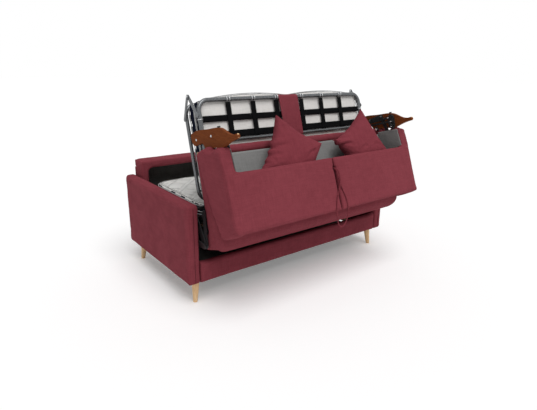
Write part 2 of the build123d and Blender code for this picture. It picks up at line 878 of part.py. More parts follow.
def backrest_cushion():
    """The crowned pad on the front and over the top of the backrest."""
    half = back_half_width - skin_thickness - fit_gap
    stations = [(0, 0), (half / 2, pad_crown / 4), (half * 0.8, pad_crown * 0.64), (half, pad_crown)]
    stations = [(-x, drop) for x, drop in stations[:0:-1]] + stations
    return loft([Pos(x, 0, 0) * pad_face(drop) for x, drop in stations], ruled=True)


def backrest_board():
    """The bent plywood board behind the front pad."""
    half = pocket_half - fit_gap
    near = inner_arc(fit_gap).trim(0, board_end_share)
    far = inner_arc(fit_gap + back_board_thickness).trim(0, board_end_share)
    return prism(outline(near, Line(near @ 1, far @ 1), far, Line(far @ 0, near @ 0)), -half, half)


def lining_face(depth, past=0.0):
    """The side outline of the pocket's inside, some distance in, carried out past its mouth."""
    floor = inner_arc(back_board_thickness + 2 * fit_gap + depth)
    if depth:
        floor = floor.trim(0, board_end_share - depth / floor.length)
    end, foot = floor @ 1, floor @ 0
    top = panel_thickness + fit_gap + depth
    lip = (pocket_edge_along, panel_height(pocket_edge_along, top))
    corners = [end, (end.X, panel_height(end.X, top)), lip]
    if past:
        corners += [(lip[0] + past, lip[1] + past), (foot.X + past, foot.Y + past)]
    return outline(floor, Polyline(*corners, foot))


def pocket_lining():
    """The grey bag that lines the pocket between the panel and the board."""
    half = pocket_half - fit_gap
    inside = half - lining_thickness
    bag = prism(lining_face(0.0), -half, half)
    return bag - prism(lining_face(lining_thickness, overrun), -inside, inside)


def panel():
    """The right half of the big rear panel, notched for the strap."""
    low, high = back_top_along, pocket_edge_along
    points = [(low, panel_height(low)), (high, panel_height(high))]
    points += [(high, panel_height(high, panel_thickness)), (low, panel_height(low, panel_thickness))]
    body = prism(polygon(*points), panel_slit / 2, back_half_width)
    body = fillet(body.edges(), panel_round)
    return body - Pos(0, strap_eye_along, back_top_height) * Cylinder(strap_eye_radius, back_top_height)


def backrest_rail():
    """The covered rail along the foot of the backrest, behind the pocket."""
    body = span_box(
        (-pocket_half + fit_gap, pocket_half - fit_gap),
        (back_rail_along, back_foot_along), (back_foot_height, back_rail_top),
    )
    far = body.edges().filter_by(Axis.X).group_by(Axis.Y)[-1]
    return fillet(far, back_rail_round)


def hinge_places():
    """The middle of each hinge across the sofa."""
    return [share * pocket_half for share in hinge_places_share]


def knuckle(x_low, x_high):
    """One barrel of a hinge, bored for its pin."""
    centre = (hinge_along, hinge_height)
    bore = hole_x(centre, hinge_pin_radius + pin_gap / 2, x_low - overrun, x_high + overrun)
    return hole_x(centre, knuckle_radius, x_low, x_high) - bore


def seat_hinges():
    """The seat's leaves, each with two barrels."""
    leaves = []
    for x in hinge_places():
        reach = knuckle_length * 1.5
        leaf_y = (seat_rear + fit_gap, seat_rear + fit_gap + leaf_thickness)
        leaf = span_box((x - reach, x + reach), leaf_y, (seat_underside, hinge_height + leaf_thickness))
        for low in (x - reach, x + knuckle_length / 2 + fit_gap / 2):
            high = low + knuckle_length - fit_gap / 2
            web = span_box(
                (low, high), (leaf_y[0], hinge_along),
                (hinge_height - leaf_thickness, hinge_height + leaf_thickness),
            )
            web -= hole_x((hinge_along, hinge_height), knuckle_radius - pin_gap, low, high)
            leaf += web + knuckle(low, high)
        leaves.append(leaf)
    return group(*leaves)


def backrest_hinges():
    """The backrest's leaves, each with one barrel between the seat's two."""
    leaves = []
    for x in hinge_places():
        low, high = x - knuckle_length / 2 + fit_gap / 2, x + knuckle_length / 2 - fit_gap / 2
        reach = knuckle_length * 1.5
        top = back_foot_height - fit_gap
        leaf = span_box(
            (x - reach, x + reach), (back_foot_along - leaf_length, back_foot_along),
            (top - leaf_thickness, top),
        )
        web = span_box(
            (low, high), (hinge_along - leaf_thickness, hinge_along + leaf_thickness),
            (hinge_height, top),
        )
        web -= hole_x((hinge_along, hinge_height), knuckle_radius - pin_gap, low, high)
        leaves.append(leaf + web + knuckle(low, high))
    return group(*leaves)


def hinge_pins():
    """The pins of the backrest's hinges, fast in the backrest's barrels."""
    pins = []
    for x in hinge_places():
        reach = knuckle_length * 1.5
        pins.append(hole_x((hinge_along, hinge_height), hinge_pin_radius, x - reach, x + reach))
    return group(*pins)


def stile_line(up):
    """Where the backrest's foot face lies along, at some height."""
    share = (up - back_foot_height) / (stile_top_height - back_foot_height)
    return back_foot_along + (stile_top_along - back_foot_along) * share


def plate_face():
    """The side outline of the bent wooden plates."""
    seat_low = back_foot_height + overrun
    seat_high = stile_top_height - overrun * 1.5
    tip = (plate_tip_along, plate_tip_height)
    rear = (plate_top_along - knob_radius, -plate_rear)
    top = [
        rear,
        (plate_top_along, back_foot_height / 2),
        (plate_top_along - knob_radius, stile_top_height / 2),
        (stile_top_along + leg_plate_side + overrun, stile_top_height - leg_plate_side / 3),
        (plate_tip_along + overrun, (stile_top_height + plate_tip_height) / 2 - overrun),
        (plate_tip_along + knob_radius, plate_tip_height - overrun / 2),
    ]
    low_tip = (plate_tip_along - knob_radius * 1.5, plate_tip_height - overrun / 2)
    return outline(
        Spline(*top),
        ThreePointArc(top[-1], (tip[0] - knob_radius / 4, tip[1] + overrun / 4), low_tip),
        ThreePointArc(
            low_tip, (plate_tip_along - overrun * 1.1, (plate_tip_height + seat_high) / 2),
            (stile_line(seat_high) + fit_gap, seat_high),
        ),
        Line((stile_line(seat_high) + fit_gap, seat_high), (stile_line(seat_low) + fit_gap, seat_low)),
        Line((stile_line(seat_low) + fit_gap, seat_low), (plate_seat_clear, back_foot_height)),
        Line((plate_seat_clear, back_foot_height), (plate_rear_along, overrun - plate_rear)),
        ThreePointArc(
            (plate_rear_along, overrun - plate_rear),
            ((plate_rear_along + plate_top_along) / 2, -plate_rear - overrun / 3), rear,
        ),
    )


def side_plate():
    """The right bent wooden plate that stands on the foot of the backrest."""
    return prism(plate_face(), plate_inner, plate_inner + plate_thickness)


def plate_link():
    """The steel link and foot on the inner face of the right plate."""
    x = (plate_inner - link_thickness, plate_inner - fit_gap)
    upper = (plate_top_along - link_width, back_rail_top + link_width * 2)
    lower = (stile_line(stile_top_height * 0.7) - link_width, stile_top_height * 0.7)
    link = eye_plate(upper, lower, link_width / 2, link_width / 2, *x)
    far = (plate_top_along - link_width * 1.4, back_foot_height)
    return link + eye_plate(upper, far, link_width / 2, link_width / 3, *x)


def plate_bolts():
    """The bolts and screws through a right side plate."""
    x = (plate_inner + plate_thickness, plate_inner + plate_thickness + screw_head)
    middle = (plate_rear_along + plate_top_along) / 2
    places = [(middle - knob_radius, 0), (middle - knob_radius, back_rail_top + link_width * 2)]
    outer = [hole_x(place, bolt_radius, *x) for place in places]
    inner_x = (plate_inner - link_thickness - screw_head, plate_inner - link_thickness)
    inner_places = [
        (plate_top_along - link_width, back_rail_top + link_width * 2),
        (plate_top_along - link_width * 1.4, back_foot_height),
    ]
    inner = [hole_x(place, bolt_radius, *inner_x) for place in inner_places]
    return group(*outer, *inner)


def plate_knob():
    """The round stop button standing on the top edge of the right plate."""
    foot = (plate_centre, knob_along - 2 * knob_radius, knob_up)
    head = (plate_centre, knob_along + knob_height, knob_up)
    brim = (plate_centre, knob_along + knob_height / 2, knob_up)
    button = bar(foot, head, knob_radius / 2) + bar(brim, head, knob_radius)
    return button - prism(plate_face(), 0, half_width)


def pillow_ring(scale):
    """The pillow's outline at a share of its size, its sides pulled in between the corners."""
    reach = pillow_side / 2 * scale
    waist = reach - pillow_pull_in * scale
    corners = [(reach, reach), (-reach, reach), (-reach, -reach), (reach, -reach)]
    middles = [(0, waist), (-waist, 0), (0, -waist), (waist, 0)]
    sides = [ThreePointArc(corners[n], middles[n], corners[(n + 1) % 4]) for n in range(4)]
    return make_face(Wire([edge for side in sides for edge in side.edges()]))


def pillow(apex, turn):
    """A square throw pillow with pulled-in sides, standing on a corner in the pocket."""
    half = pillow_side / 2
    top = loft([Pos(0, 0, up * pillow_thickness / 2) * pillow_ring(scale) for scale, up in pillow_shares])
    body = top + mirror(top, about=Plane.XY)
    along = (cos(radians(turn)), sin(radians(turn)))
    across = (sin(radians(turn)), -cos(radians(turn)))
    centre = [apex[n] + half * (along[n] + across[n]) for n in range(2)]
    body = Pos(centre[0], centre[1] - pillow_plane_along, 0) * Rot(0, 0, turn) * body
    return Pos(0, pillow_plane_along, pillow_plane_height) * Rot(pillow_lean, 0, 0) * body


def strap_points():
    """The pull strap's route in the half open pose."""
    points = []
    for x, drop, lift in strap_route:
        along = strap_eye_along - drop
        points.append(tilted_point(x, along, panel_height(along) + lift))
    return points


def pull_strap():
    """The cloth cord that loops out of the slit and hangs over the panel's lower edge."""
    points = [Vector(*point) for point in strap_points()]
    radii = []
    for before, here, after in zip(points, points[1:], points[2:]):
        turn = radians((here - before).get_angle(after - here))
        run = min((here - before).length, (after - here).length)
        radii.append(0.45 * run * cos(turn / 2) / sin(turn / 2))
    print("strap radii", [round(radius) for radius in radii])
    path = FilletPolyline(*points, radius=radii)
    print("strap length", round(path.length))
    start = Plane(origin=path @ 0, z_dir=path % 0)
    return sweep(start * Circle(strap_radius), path=path)


def base_parts():
    """The pieces that stand still."""
    right_arm = arm()
    places = leg_places()
    guides = group(lift_guide(guide_front_along), lift_guide(guide_rear_along))
    return {
        "left_arm": mirror(right_arm, about=Plane.YZ),
        "right_arm": right_arm,
        "front_rail": front_rail(),
        "back_frame": back_frame(),
        "rear_board": rear_board(),
        "back_lining": back_lining(),
        "base_ring": base_ring(),
        "bottom_lining": bottom_lining(),
        "legs": group(*[leg(*place) for place in places]),
        "leg_plates": group(*[leg_plate(x, y) for x, y, side, end in places]),
        "pivot_brackets": both_sides(pivot_bracket()),
        "lift_guides": both_sides(guides),
        "head_frame": head_frame(),
        "head_webbing": head_webbing(),
        "head_mattress": head_mattress(),
        "lift_blocks": lift_blocks(),
    }


def bed_parts():
    """The carrier and the folded sections of the bed."""
    return {
        "swing_plates": both_sides(swing_plate()),
        "pivot_pins": pivot_pins(),
        "mid_frame": mid_frame(),
        "mid_webbing": mid_webbing(),
        "webbing_hooks": webbing_hooks(),
        "mid_mattress": mid_mattress(),
        "centre_strip": centre_strip(),
        "fold_pins": fold_pins(),
        "foot_frame": foot_frame(),
        "foot_webbing": foot_webbing(),
        "foot_mattress": foot_mattress(),
        "foot_leg": foot_leg(),
        "leg_tips": leg_tips(),
    }


def seat_parts():
    """The seat and the backrest folded down on it."""
    right_gusset, right_panel, right_plate = gusset(), panel(), side_plate()
    return {
        "seat_cushion": seat_cushion(),
        "seat_board": seat_board(),
        "seat_plates": both_sides(seat_plate()),
        "seat_hinges": seat_hinges(),
        "backrest_hinges": backrest_hinges(),
        "hinge_pins": hinge_pins(),
        "right_gusset": right_gusset,
        "left_gusset": mirror(right_gusset, about=Plane.YZ),
        "right_panel": right_panel,
        "left_panel": mirror(right_panel, about=Plane.YZ),
        "backrest_cushion": backrest_cushion(),
        "backrest_board": backrest_board(),
        "pocket_lining": pocket_lining(),
        "backrest_rail": backrest_rail(),
        "right_plate": right_plate,
        "left_plate": mirror(right_plate, about=Plane.YZ),
        "plate_links": both_sides(plate_link()),
        "plate_bolts": both_sides(plate_bolts()),
        "plate_knobs": both_sides(plate_knob()),
        "pillow_left": pillow(pillow_left_apex, pillow_left_turn),
        "pillow_right": pillow(pillow_right_apex, pillow_right_turn),
    }


def main():
    """Builds every piece, sets the frame's origin under the middle of the sofa and writes the files."""
    parts = base_parts()
    for name, shape in {**bed_parts(), **seat_parts()}.items():
        parts[name] = tilted(shape)
    box = group(*parts.values()).bounding_box()
    shift = Pos(-(box.min.X + box.max.X) / 2, -(box.min.Y + box.max.Y) / 2, -box.min.Z)
    parts["pull_strap"] = pull_strap()
    os.makedirs("parts", exist_ok=True)
    for name, shape in parts.items():
        export_step(shift * group(shape), f"parts/{name}.step")
    move = shift.position
    print("origin shift", round(move.X, 3), round(move.Y, 3), round(move.Z, 3))
    axes = {
        "seat_pivot": (0, 0, 0),
        "crease": (0, crease_along, fold_plane),
        "fold": (0, crease_end, fold_plane),
        "leg": (0, leg_hoop_pivot, foot_axis - leg_hoop_drop),
        "backrest": (0, hinge_along, hinge_height),
    }
    for name, place in axes.items():
        x, y, z = tilted_point(*place)
        print("axis", name, round(x + move.X, 3), round(y + move.Y, 3), round(z + move.Z, 3))


main()
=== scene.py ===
import json
import math

import bmesh
import bpy
import numpy as np
from mathutils import Matrix, Vector, noise


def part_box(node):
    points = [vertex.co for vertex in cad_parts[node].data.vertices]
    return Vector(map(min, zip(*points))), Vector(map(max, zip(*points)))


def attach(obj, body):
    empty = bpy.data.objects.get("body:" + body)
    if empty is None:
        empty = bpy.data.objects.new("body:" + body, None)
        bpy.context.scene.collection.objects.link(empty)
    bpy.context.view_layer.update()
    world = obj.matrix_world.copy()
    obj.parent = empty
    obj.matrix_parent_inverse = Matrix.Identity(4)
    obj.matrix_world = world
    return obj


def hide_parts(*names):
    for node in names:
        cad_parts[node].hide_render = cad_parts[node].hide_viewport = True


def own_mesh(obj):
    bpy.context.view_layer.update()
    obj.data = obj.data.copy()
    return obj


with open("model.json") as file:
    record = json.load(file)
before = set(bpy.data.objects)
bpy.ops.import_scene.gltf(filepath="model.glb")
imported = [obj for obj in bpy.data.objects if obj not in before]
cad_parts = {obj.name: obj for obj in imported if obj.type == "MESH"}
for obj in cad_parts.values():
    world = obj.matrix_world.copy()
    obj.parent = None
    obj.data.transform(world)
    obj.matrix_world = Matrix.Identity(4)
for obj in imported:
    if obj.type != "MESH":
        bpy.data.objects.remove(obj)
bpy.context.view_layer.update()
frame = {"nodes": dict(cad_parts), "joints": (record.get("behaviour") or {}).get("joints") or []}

LEAN = math.radians(75)
PIVOT = Vector(next(j for j in frame["joints"] if j["name"] == "sofa_closing")["pos_m"])
BASE_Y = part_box("left_arm")[0].y


def unit(x, along, up):
    """A point of the tipping unit, from millimetres in its own drawing to the row frame."""
    c, s = math.cos(LEAN), math.sin(LEAN)
    return Vector((x / 1000, PIVOT.y + (along * c - up * s) / 1000, PIVOT.z + (along * s + up * c) / 1000))


def to_unit(p):
    """A point of the row frame as x, along and up in the tipping unit's drawing, in millimetres."""
    c, s = math.cos(LEAN), math.sin(LEAN)
    y, z = (p[1] - PIVOT.y) * 1000, (p[2] - PIVOT.z) * 1000
    return p[0] * 1000, y * c + z * s, -y * s + z * c


# Camera

FOCAL_PIXELS, PHOTO_PIXELS = 443.67, 537


def make_camera():
    """The camera of the photograph, from its solved place, three angles and focal length."""
    yaw, pitch, roll = 0.6628, 0.3059, 0.0133
    place = Vector((-1.0461 - 0.84, BASE_Y - 2.0540, 1.3514))
    d = Vector((math.sin(yaw) * math.cos(pitch), math.cos(yaw) * math.cos(pitch), -math.sin(pitch)))
    right = Vector((math.cos(yaw), -math.sin(yaw), 0))
    up = right.cross(d)
    r = right * math.cos(roll) + up * math.sin(roll)
    u = -right * math.sin(roll) + up * math.cos(roll)
    data = bpy.data.cameras.new("camera")
    data.sensor_width = 36
    data.sensor_fit = "HORIZONTAL"
    data.lens = data.sensor_width * FOCAL_PIXELS / PHOTO_PIXELS
    data.clip_end = 60
    cam = bpy.data.objects.new("camera", data)
    bpy.context.scene.collection.objects.link(cam)
    m = Matrix((r, u, -d)).transposed().to_4x4()
    m.translation = place
    cam.matrix_world = m
    bpy.context.scene.camera = cam


make_camera()


# Materials

WAVE_PER_PITCH = 0.314
NO_TURN = (0, 0, 0)


def tree(name):
    """A new material with its nodes, its links and its shader."""
    mat = bpy.data.materials.new(name)
    mat.use_nodes = True
    nodes = mat.node_tree.nodes
    return mat, nodes, mat.node_tree.links, nodes["Principled BSDF"]


def add(nodes, kind, **values):
    """A new node: names that start with i_ are its inputs, the others its own settings."""
    node = nodes.new(kind)
    for key, value in values.items():
        if key.startswith("i_"):
            node.inputs[key[2:].replace("_", " ")].default_value = value
        else:
            setattr(node, key, value)
    return node


def ramp(nodes, links, source, stops):
    """A colour ramp over a value, from pairs of a place and a colour."""
    node = nodes.new("ShaderNodeValToRGB")
    elements = node.color_ramp.elements
    while len(elements) < len(stops):
        elements.new(0.5)
    for element, (place, colour) in zip(elements, stops):
        element.position = place
        element.color = (*colour, 1) if len(colour) == 3 else colour
    links.new(source, node.inputs[0])
    return node


def coords(nodes, links, scale=(1, 1, 1), turn=NO_TURN):
    """The piece's own coordinates, scaled and turned."""
    at = nodes.new("ShaderNodeTexCoord")
    mapping = nodes.new("ShaderNodeMapping")
    mapping.inputs["Scale"].default_value = scale
    mapping.inputs["Rotation"].default_value = turn
    links.new(at.outputs["Object"], mapping.inputs[0])
    return mapping.outputs[0]


def math_node(nodes, links, op, a, b):
    """A sum, product or other rule over two values, each a number or another node's output."""
    node = nodes.new("ShaderNodeMath")
    node.operation = op
    for n, v in enumerate((a, b)):
        if isinstance(v, (int, float)):
            node.inputs[n].default_value = v
        else:
            links.new(v, node.inputs[n])
    return node.outputs[0]


def weighted(nodes, links, a, share_a, b, share_b):
    """The sum of two values, each times its own share."""
    return math_node(nodes, links, "ADD", math_node(nodes, links, "MULTIPLY", a, share_a),
                     math_node(nodes, links, "MULTIPLY", b, share_b))


def emboss(nodes, links, shader, height, strength, depth):
    """Lets a height change the way in which the surface catches the light."""
    bump = add(nodes, "ShaderNodeBump", i_Strength=strength, i_Distance=depth)
    links.new(height, bump.inputs["Height"])
    links.new(bump.outputs[0], shader.inputs["Normal"])


def add_relief(nodes, links, shader, height, strength, depth):
    """Lays one more relief over the one that the surface has."""
    under = shader.inputs["Normal"].links[0].from_socket
    bump = add(nodes, "ShaderNodeBump", i_Strength=strength, i_Distance=depth)
    links.new(height, bump.inputs["Height"])
    links.new(under, bump.inputs["Normal"])
    links.new(bump.outputs[0], shader.inputs["Normal"])


def bands(nodes, links, at, axis, pitch, wobble):
    """Waves of one pitch across one axis, with a little wobble."""
    wave = add(nodes, "ShaderNodeTexWave", wave_type="BANDS", bands_direction=axis)
    wave.inputs["Scale"].default_value = WAVE_PER_PITCH / pitch
    wave.inputs["Distortion"].default_value = wobble
    wave.inputs["Detail"].default_value = 1.0
    links.new(at, wave.inputs["Vector"])
    return wave.outputs["Fac"]


def weave(nodes, links, pitch, turn):
    """A plain weave's height, from two crossed waves and a third for the depth."""
    at = coords(nodes, links, (1, 1, 1), turn)
    parts = [bands(nodes, links, at, axis, pitch, 1.2) for axis in ("X", "Y", "Z")]
    total = math_node(nodes, links, "ADD", parts[0], parts[1])
    return math_node(nodes, links, "ADD", total, parts[2])


def fabric(name, dark, light, pitch=0.0016, bump=0.25, sheen=0.25, turn=(LEAN, 0, 0), slub=1.0):
    """A woven cloth: threads, thick and thin places along them, fuzz, and slow changes of shade."""
    mat, nodes, links, shader = tree(name)
    threads = weave(nodes, links, pitch, turn)
    at = coords(nodes, links, (1, 1, 1))
    fine = add(nodes, "ShaderNodeTexNoise", i_Scale=420.0, i_Detail=3.0, i_Roughness=0.6)
    wide = add(nodes, "ShaderNodeTexNoise", i_Scale=26.0, i_Detail=5.0, i_Roughness=0.62)
    large = add(nodes, "ShaderNodeTexNoise", i_Scale=3.1, i_Detail=2.0, i_Roughness=0.5)
    for node in (fine, wide, large):
        links.new(at, node.inputs["Vector"])
    streaks = []
    for scale in ((14, 14, 300), (220, 14, 14)):
        streak = add(nodes, "ShaderNodeTexNoise", i_Scale=1.0, i_Detail=3.0, i_Roughness=0.6)
        links.new(coords(nodes, links, scale, turn), streak.inputs["Vector"])
        streaks.append(streak)
    mix = math_node(nodes, links, "MULTIPLY", threads, 0.06)
    weights = ((fine, 0.25), (wide, 0.16 * slub), (large, 0.16), (streaks[0], 0.3), (streaks[1], 0.3))
    for node, weight in weights:
        share = math_node(nodes, links, "MULTIPLY", node.outputs["Fac"], weight)
        mix = math_node(nodes, links, "ADD", mix, share)
    colour = ramp(nodes, links, mix, ((0.48, dark), (0.82, light)))
    links.new(colour.outputs[0], shader.inputs["Base Color"])
    fuzz = math_node(nodes, links, "MULTIPLY", fine.outputs["Fac"], 1.4)
    height = math_node(nodes, links, "ADD", threads, fuzz)
    emboss(nodes, links, shader, height, bump, 0.0009)
    add_relief(nodes, links, shader, wide.outputs["Fac"], 0.16, 0.01)
    shader.inputs["Roughness"].default_value = 0.92
    shader.inputs["Specular IOR Level"].default_value = 0.08
    shader.inputs["Sheen Weight"].default_value = sheen
    shader.inputs["Sheen Roughness"].default_value = 0.5
    shader.inputs["Sheen Tint"].default_value = (*light, 1)
    return mat


def quilt(name, dark, light, lean=0.0, spacing=0.12):
    """A white quilted cover: a fine cloth with sewn lines crossing in diamonds."""
    mat = fabric(name, dark, light, pitch=0.0014, sheen=0.2, slub=0.6, turn=NO_TURN)
    nodes, links = mat.node_tree.nodes, mat.node_tree.links
    shader = nodes["Principled BSDF"]
    at = coords(nodes, links, (1, 1, 1), (-lean, 0, math.radians(45)))
    lines = []
    for axis in ("X", "Y"):
        wave = bands(nodes, links, at, axis, spacing, 0.6)
        edge = ramp(nodes, links, wave, ((0.0, (0, 0, 0)), (0.22, (1, 1, 1))))
        lines.append(edge.outputs[0])
    both = math_node(nodes, links, "MINIMUM", lines[0], lines[1])
    add_relief(nodes, links, shader, both, 1.0, 0.012)
    return mat


def steel(name, colour, rough, metal):
    """Bare or painted steel, with a fine grain in its colour and its polish."""
    mat, nodes, links, shader = tree(name)
    at = coords(nodes, links)
    grain = add(nodes, "ShaderNodeTexNoise", i_Scale=130.0, i_Detail=4.0, i_Roughness=0.65)
    broad = add(nodes, "ShaderNodeTexNoise", i_Scale=9.0, i_Detail=3.0, i_Roughness=0.5)
    links.new(at, grain.inputs["Vector"])
    links.new(at, broad.inputs["Vector"])
    mix = weighted(nodes, links, grain.outputs["Fac"], 0.4, broad.outputs["Fac"], 0.6)
    dark = tuple(c * 0.875 for c in colour)
    light = tuple(min(1, c * 1.1) for c in colour)
    links.new(ramp(nodes, links, mix, ((0.35, dark), (0.65, light))).outputs[0], shader.inputs["Base Color"])
    stops = ((0.3, (rough * 0.8,) * 3), (0.7, (min(1, rough * 1.3),) * 3))
    polish = ramp(nodes, links, grain.outputs["Fac"], stops)
    links.new(polish.outputs[0], shader.inputs["Roughness"])
    emboss(nodes, links, shader, grain.outputs["Fac"], 0.12, 0.0006)
    shader.inputs["Metallic"].default_value = metal
    return mat


def wood(name, dark, light, rough, coat, scale, gloss=0.2):
    """Wood with its grain drawn out along one axis, bare or under a clear coat."""
    mat, nodes, links, shader = tree(name)
    at = coords(nodes, links, scale)
    grain = add(nodes, "ShaderNodeTexNoise", i_Scale=6.0, i_Detail=8.0, i_Roughness=0.7, i_Distortion=1.2)
    pores = add(nodes, "ShaderNodeTexNoise", i_Scale=55.0, i_Detail=3.0, i_Roughness=0.5)
    for node in (grain, pores):
        links.new(at, node.inputs["Vector"])
    mix = weighted(nodes, links, grain.outputs["Fac"], 0.8, pores.outputs["Fac"], 0.2)
    links.new(ramp(nodes, links, mix, ((0.36, dark), (0.64, light))).outputs[0], shader.inputs["Base Color"])
    emboss(nodes, links, shader, mix, 0.1, 0.0006)
    shader.inputs["Roughness"].default_value = rough
    shader.inputs["Specular IOR Level"].default_value = gloss
    shader.inputs["Coat Weight"].default_value = coat
    shader.inputs["Coat Roughness"].default_value = 0.18
    return mat


def plastic(name, colour, rough):
    """A moulded plastic or rubber with a fine grain."""
    mat, nodes, links, shader = tree(name)
    at = coords(nodes, links)
    grain = add(nodes, "ShaderNodeTexNoise", i_Scale=600.0, i_Detail=2.0, i_Roughness=0.5)
    links.new(at, grain.inputs["Vector"])
    dark = tuple(c * 0.8 for c in colour)
    links.new(ramp(nodes, links, grain.outputs["Fac"], ((0.4, dark), (0.6, colour))).outputs[0],
              shader.inputs["Base Color"])
    emboss(nodes, links, shader, grain.outputs["Fac"], 0.2, 0.0003)
    shader.inputs["Roughness"].default_value = rough
    return mat


DEEP, LIT = (0.165, 0.030, 0.040), (0.265, 0.054, 0.070)
MAROON = fabric("maroon_cloth", DEEP, LIT)
MAROON_UP = fabric("maroon_cloth_level", DEEP, LIT, turn=NO_TURN)
PILLOW = fabric("pillow_cloth", (0.160, 0.027, 0.037), (0.255, 0.050, 0.066), pitch=0.0013)
STITCH = fabric("sewing_thread", (0.045, 0.008, 0.011), (0.085, 0.017, 0.022), pitch=0.0006, slub=0.3)
BLACK_CLOTH = fabric("black_lining_cloth", (0.024, 0.024, 0.022), (0.088, 0.086, 0.081),
                     pitch=0.002, sheen=0.1, slub=2.0)
GREY_CLOTH = fabric("grey_lining_cloth", (0.19, 0.19, 0.187), (0.29, 0.29, 0.284),
                    pitch=0.0012, sheen=0.15, bump=0.12)
# The head mattress's top cloth is the same white quilt as the leaning one, painted lighter: painted light to
# make up for the shade it lies in.
QUILT = quilt("mattress_cloth", (0.82, 0.82, 0.79), (0.94, 0.94, 0.91))
LEANING_QUILT = quilt("mattress_cloth_leaning", (0.78, 0.78, 0.75), (0.92, 0.92, 0.89), LEAN)
UNDER_QUILT = fabric("mattress_underside", (0.72, 0.70, 0.675), (0.92, 0.90, 0.87),
                     pitch=0.0022, sheen=0.15, slub=0.5)
# The cord is of the panel's maroon cloth, painted a little darker: painted shade on the cord.
CORD = fabric("pull_cord_cloth_painted_shade", (0.150, 0.027, 0.036), (0.250, 0.050, 0.065), pitch=0.0008, slub=0.3)
QUILT_THREAD = fabric("quilt_thread", (0.16, 0.16, 0.155), (0.26, 0.26, 0.25), pitch=0.0008, slub=0.3)
NAVY = fabric("mattress_border", (0.0025, 0.0035, 0.010), (0.008, 0.011, 0.028), pitch=0.002, sheen=0.1)
PALE_PIPING = fabric("mattress_piping", (0.42, 0.42, 0.42), (0.60, 0.60, 0.60), pitch=0.001)
WEBBING = fabric("elastic_webbing", (0.0015, 0.0015, 0.0018), (0.005, 0.005, 0.006),
                 pitch=0.0026, bump=0.6, sheen=0.05)
GREY_STEEL = steel("grey_steel_paint", (0.135, 0.141, 0.147), rough=0.24, metal=0.7)
BLACK_STEEL = steel("black_steel_paint", (0.012, 0.012, 0.013), rough=0.45, metal=0.2)
ZINC = steel("zinc_steel", (0.62, 0.63, 0.64), rough=0.3, metal=1.0)
DARK_ZINC = steel("dark_zinc_steel", (0.045, 0.047, 0.050), rough=0.35, metal=0.8)
VARNISH = wood("brown_varnish", (0.135, 0.034, 0.010), (0.235, 0.066, 0.019), 0.6, 0.0,
               (30.0, 3.0, 22.0), gloss=0.03)
BEECH = wood("beech", (0.76, 0.48, 0.235), (0.94, 0.65, 0.37), 0.42, 0.15, (22.0, 22.0, 2.0))
BOARD = wood("raw_board", (0.36, 0.26, 0.16), (0.52, 0.40, 0.26), 0.75, 0.0, (3.0, 12.0, 12.0))
BLACK_PLASTIC = plastic("black_plastic", (0.012, 0.012, 0.012), 0.35)
RUBBER = plastic("black_rubber", (0.016, 0.016, 0.016), 0.8)


def paint(node, mat):
    """Gives a CAD node that stays in sight its material."""
    obj = frame["nodes"][node]
    for slot_ in obj.material_slots:
        slot_.material = mat
    if not obj.material_slots:
        obj.data.materials.append(mat)


for names, mat in (
    (("legs",), BEECH),
    (("leg_plates", "webbing_hooks", "fold_pins", "hinge_pins", "seat_hinges"), ZINC),
    (("backrest_hinges", "plate_bolts"), ZINC),
    (("plate_links",), DARK_ZINC),
    (("pivot_pins", "pivot_brackets", "lift_guides", "swing_plates", "seat_plates"), BLACK_STEEL),
    (("head_frame", "mid_frame", "foot_frame", "foot_leg"), GREY_STEEL),
    (("lift_blocks", "plate_knobs"), BLACK_PLASTIC),
    (("leg_tips",), RUBBER),
    (("base_ring", "seat_board", "backrest_board"), BOARD),
    (("left_plate", "right_plate"), VARNISH),
):
    for name in names:
        paint(name, mat)


# Mesh helpers

def link(obj, mat=None, smooth=True):
    """Puts an object into the scene, with its material and smooth shading."""
    bpy.context.scene.collection.objects.link(obj)
    if mat:
        obj.data.materials.append(mat)
    if smooth and obj.type == "MESH":
        obj.data.polygons.foreach_set("use_smooth", [True] * len(obj.data.polygons))
    return obj


def mesh_object(name, verts, faces, mat, smooth=True):
    """A new piece from points and faces."""
    mesh = bpy.data.meshes.new(name)
    mesh.from_pydata([tuple(v) for v in verts], [], faces)
    mesh.validate()
    mesh.update()
    return link(bpy.data.objects.new(name, mesh), mat, smooth)


def get_co(obj):
    """The mesh's points as rows of an array."""
    co = np.empty(len(obj.data.vertices) * 3)
    obj.data.vertices.foreach_get("co", co)
    return co.reshape(-1, 3)


def set_co(obj, co):
    obj.data.vertices.foreach_set("co", np.ascontiguousarray(co, dtype=np.float32).ravel())
    obj.data.update()


def get_normals(obj):
    normals = np.empty(len(obj.data.vertices) * 3)
    obj.data.vertices.foreach_get("normal", normals)
    return normals.reshape(-1, 3)


def apply_modifiers(obj):
    """Bakes an object's modifiers into its mesh."""
    deps = bpy.context.evaluated_depsgraph_get()
    mesh = bpy.data.meshes.new_from_object(obj.evaluated_get(deps))
    obj.modifiers.clear()
    old = obj.data
    obj.data = mesh
    bpy.data.meshes.remove(old)
    obj.data.polygons.foreach_set("use_smooth", [True] * len(obj.data.polygons))


def drop_crumbs(obj):
    """Deletes the loose crumbs that a remesh leaves along a thin rim."""
    bm = bmesh.new()
    bm.from_mesh(obj.data)
    seen, islands = set(), []
    for vert in bm.verts:
        if vert in seen:
            continue
        island, front = [], [vert]
        seen.add(vert)
        while front:
            here = front.pop()
            island.append(here)
            for edge in here.link_edges:
                other = edge.other_vert(here)
                if other not in seen:
                    seen.add(other)
                    front.append(other)
        islands.append(island)
    largest = max(len(island) for island in islands)
    crumbs = [vert for island in islands if len(island) < 0.2 * largest for vert in island]
    if crumbs:
        bmesh.ops.delete(bm, geom=crumbs, context="VERTS")
        bm.to_mesh(obj.data)
    bm.free()


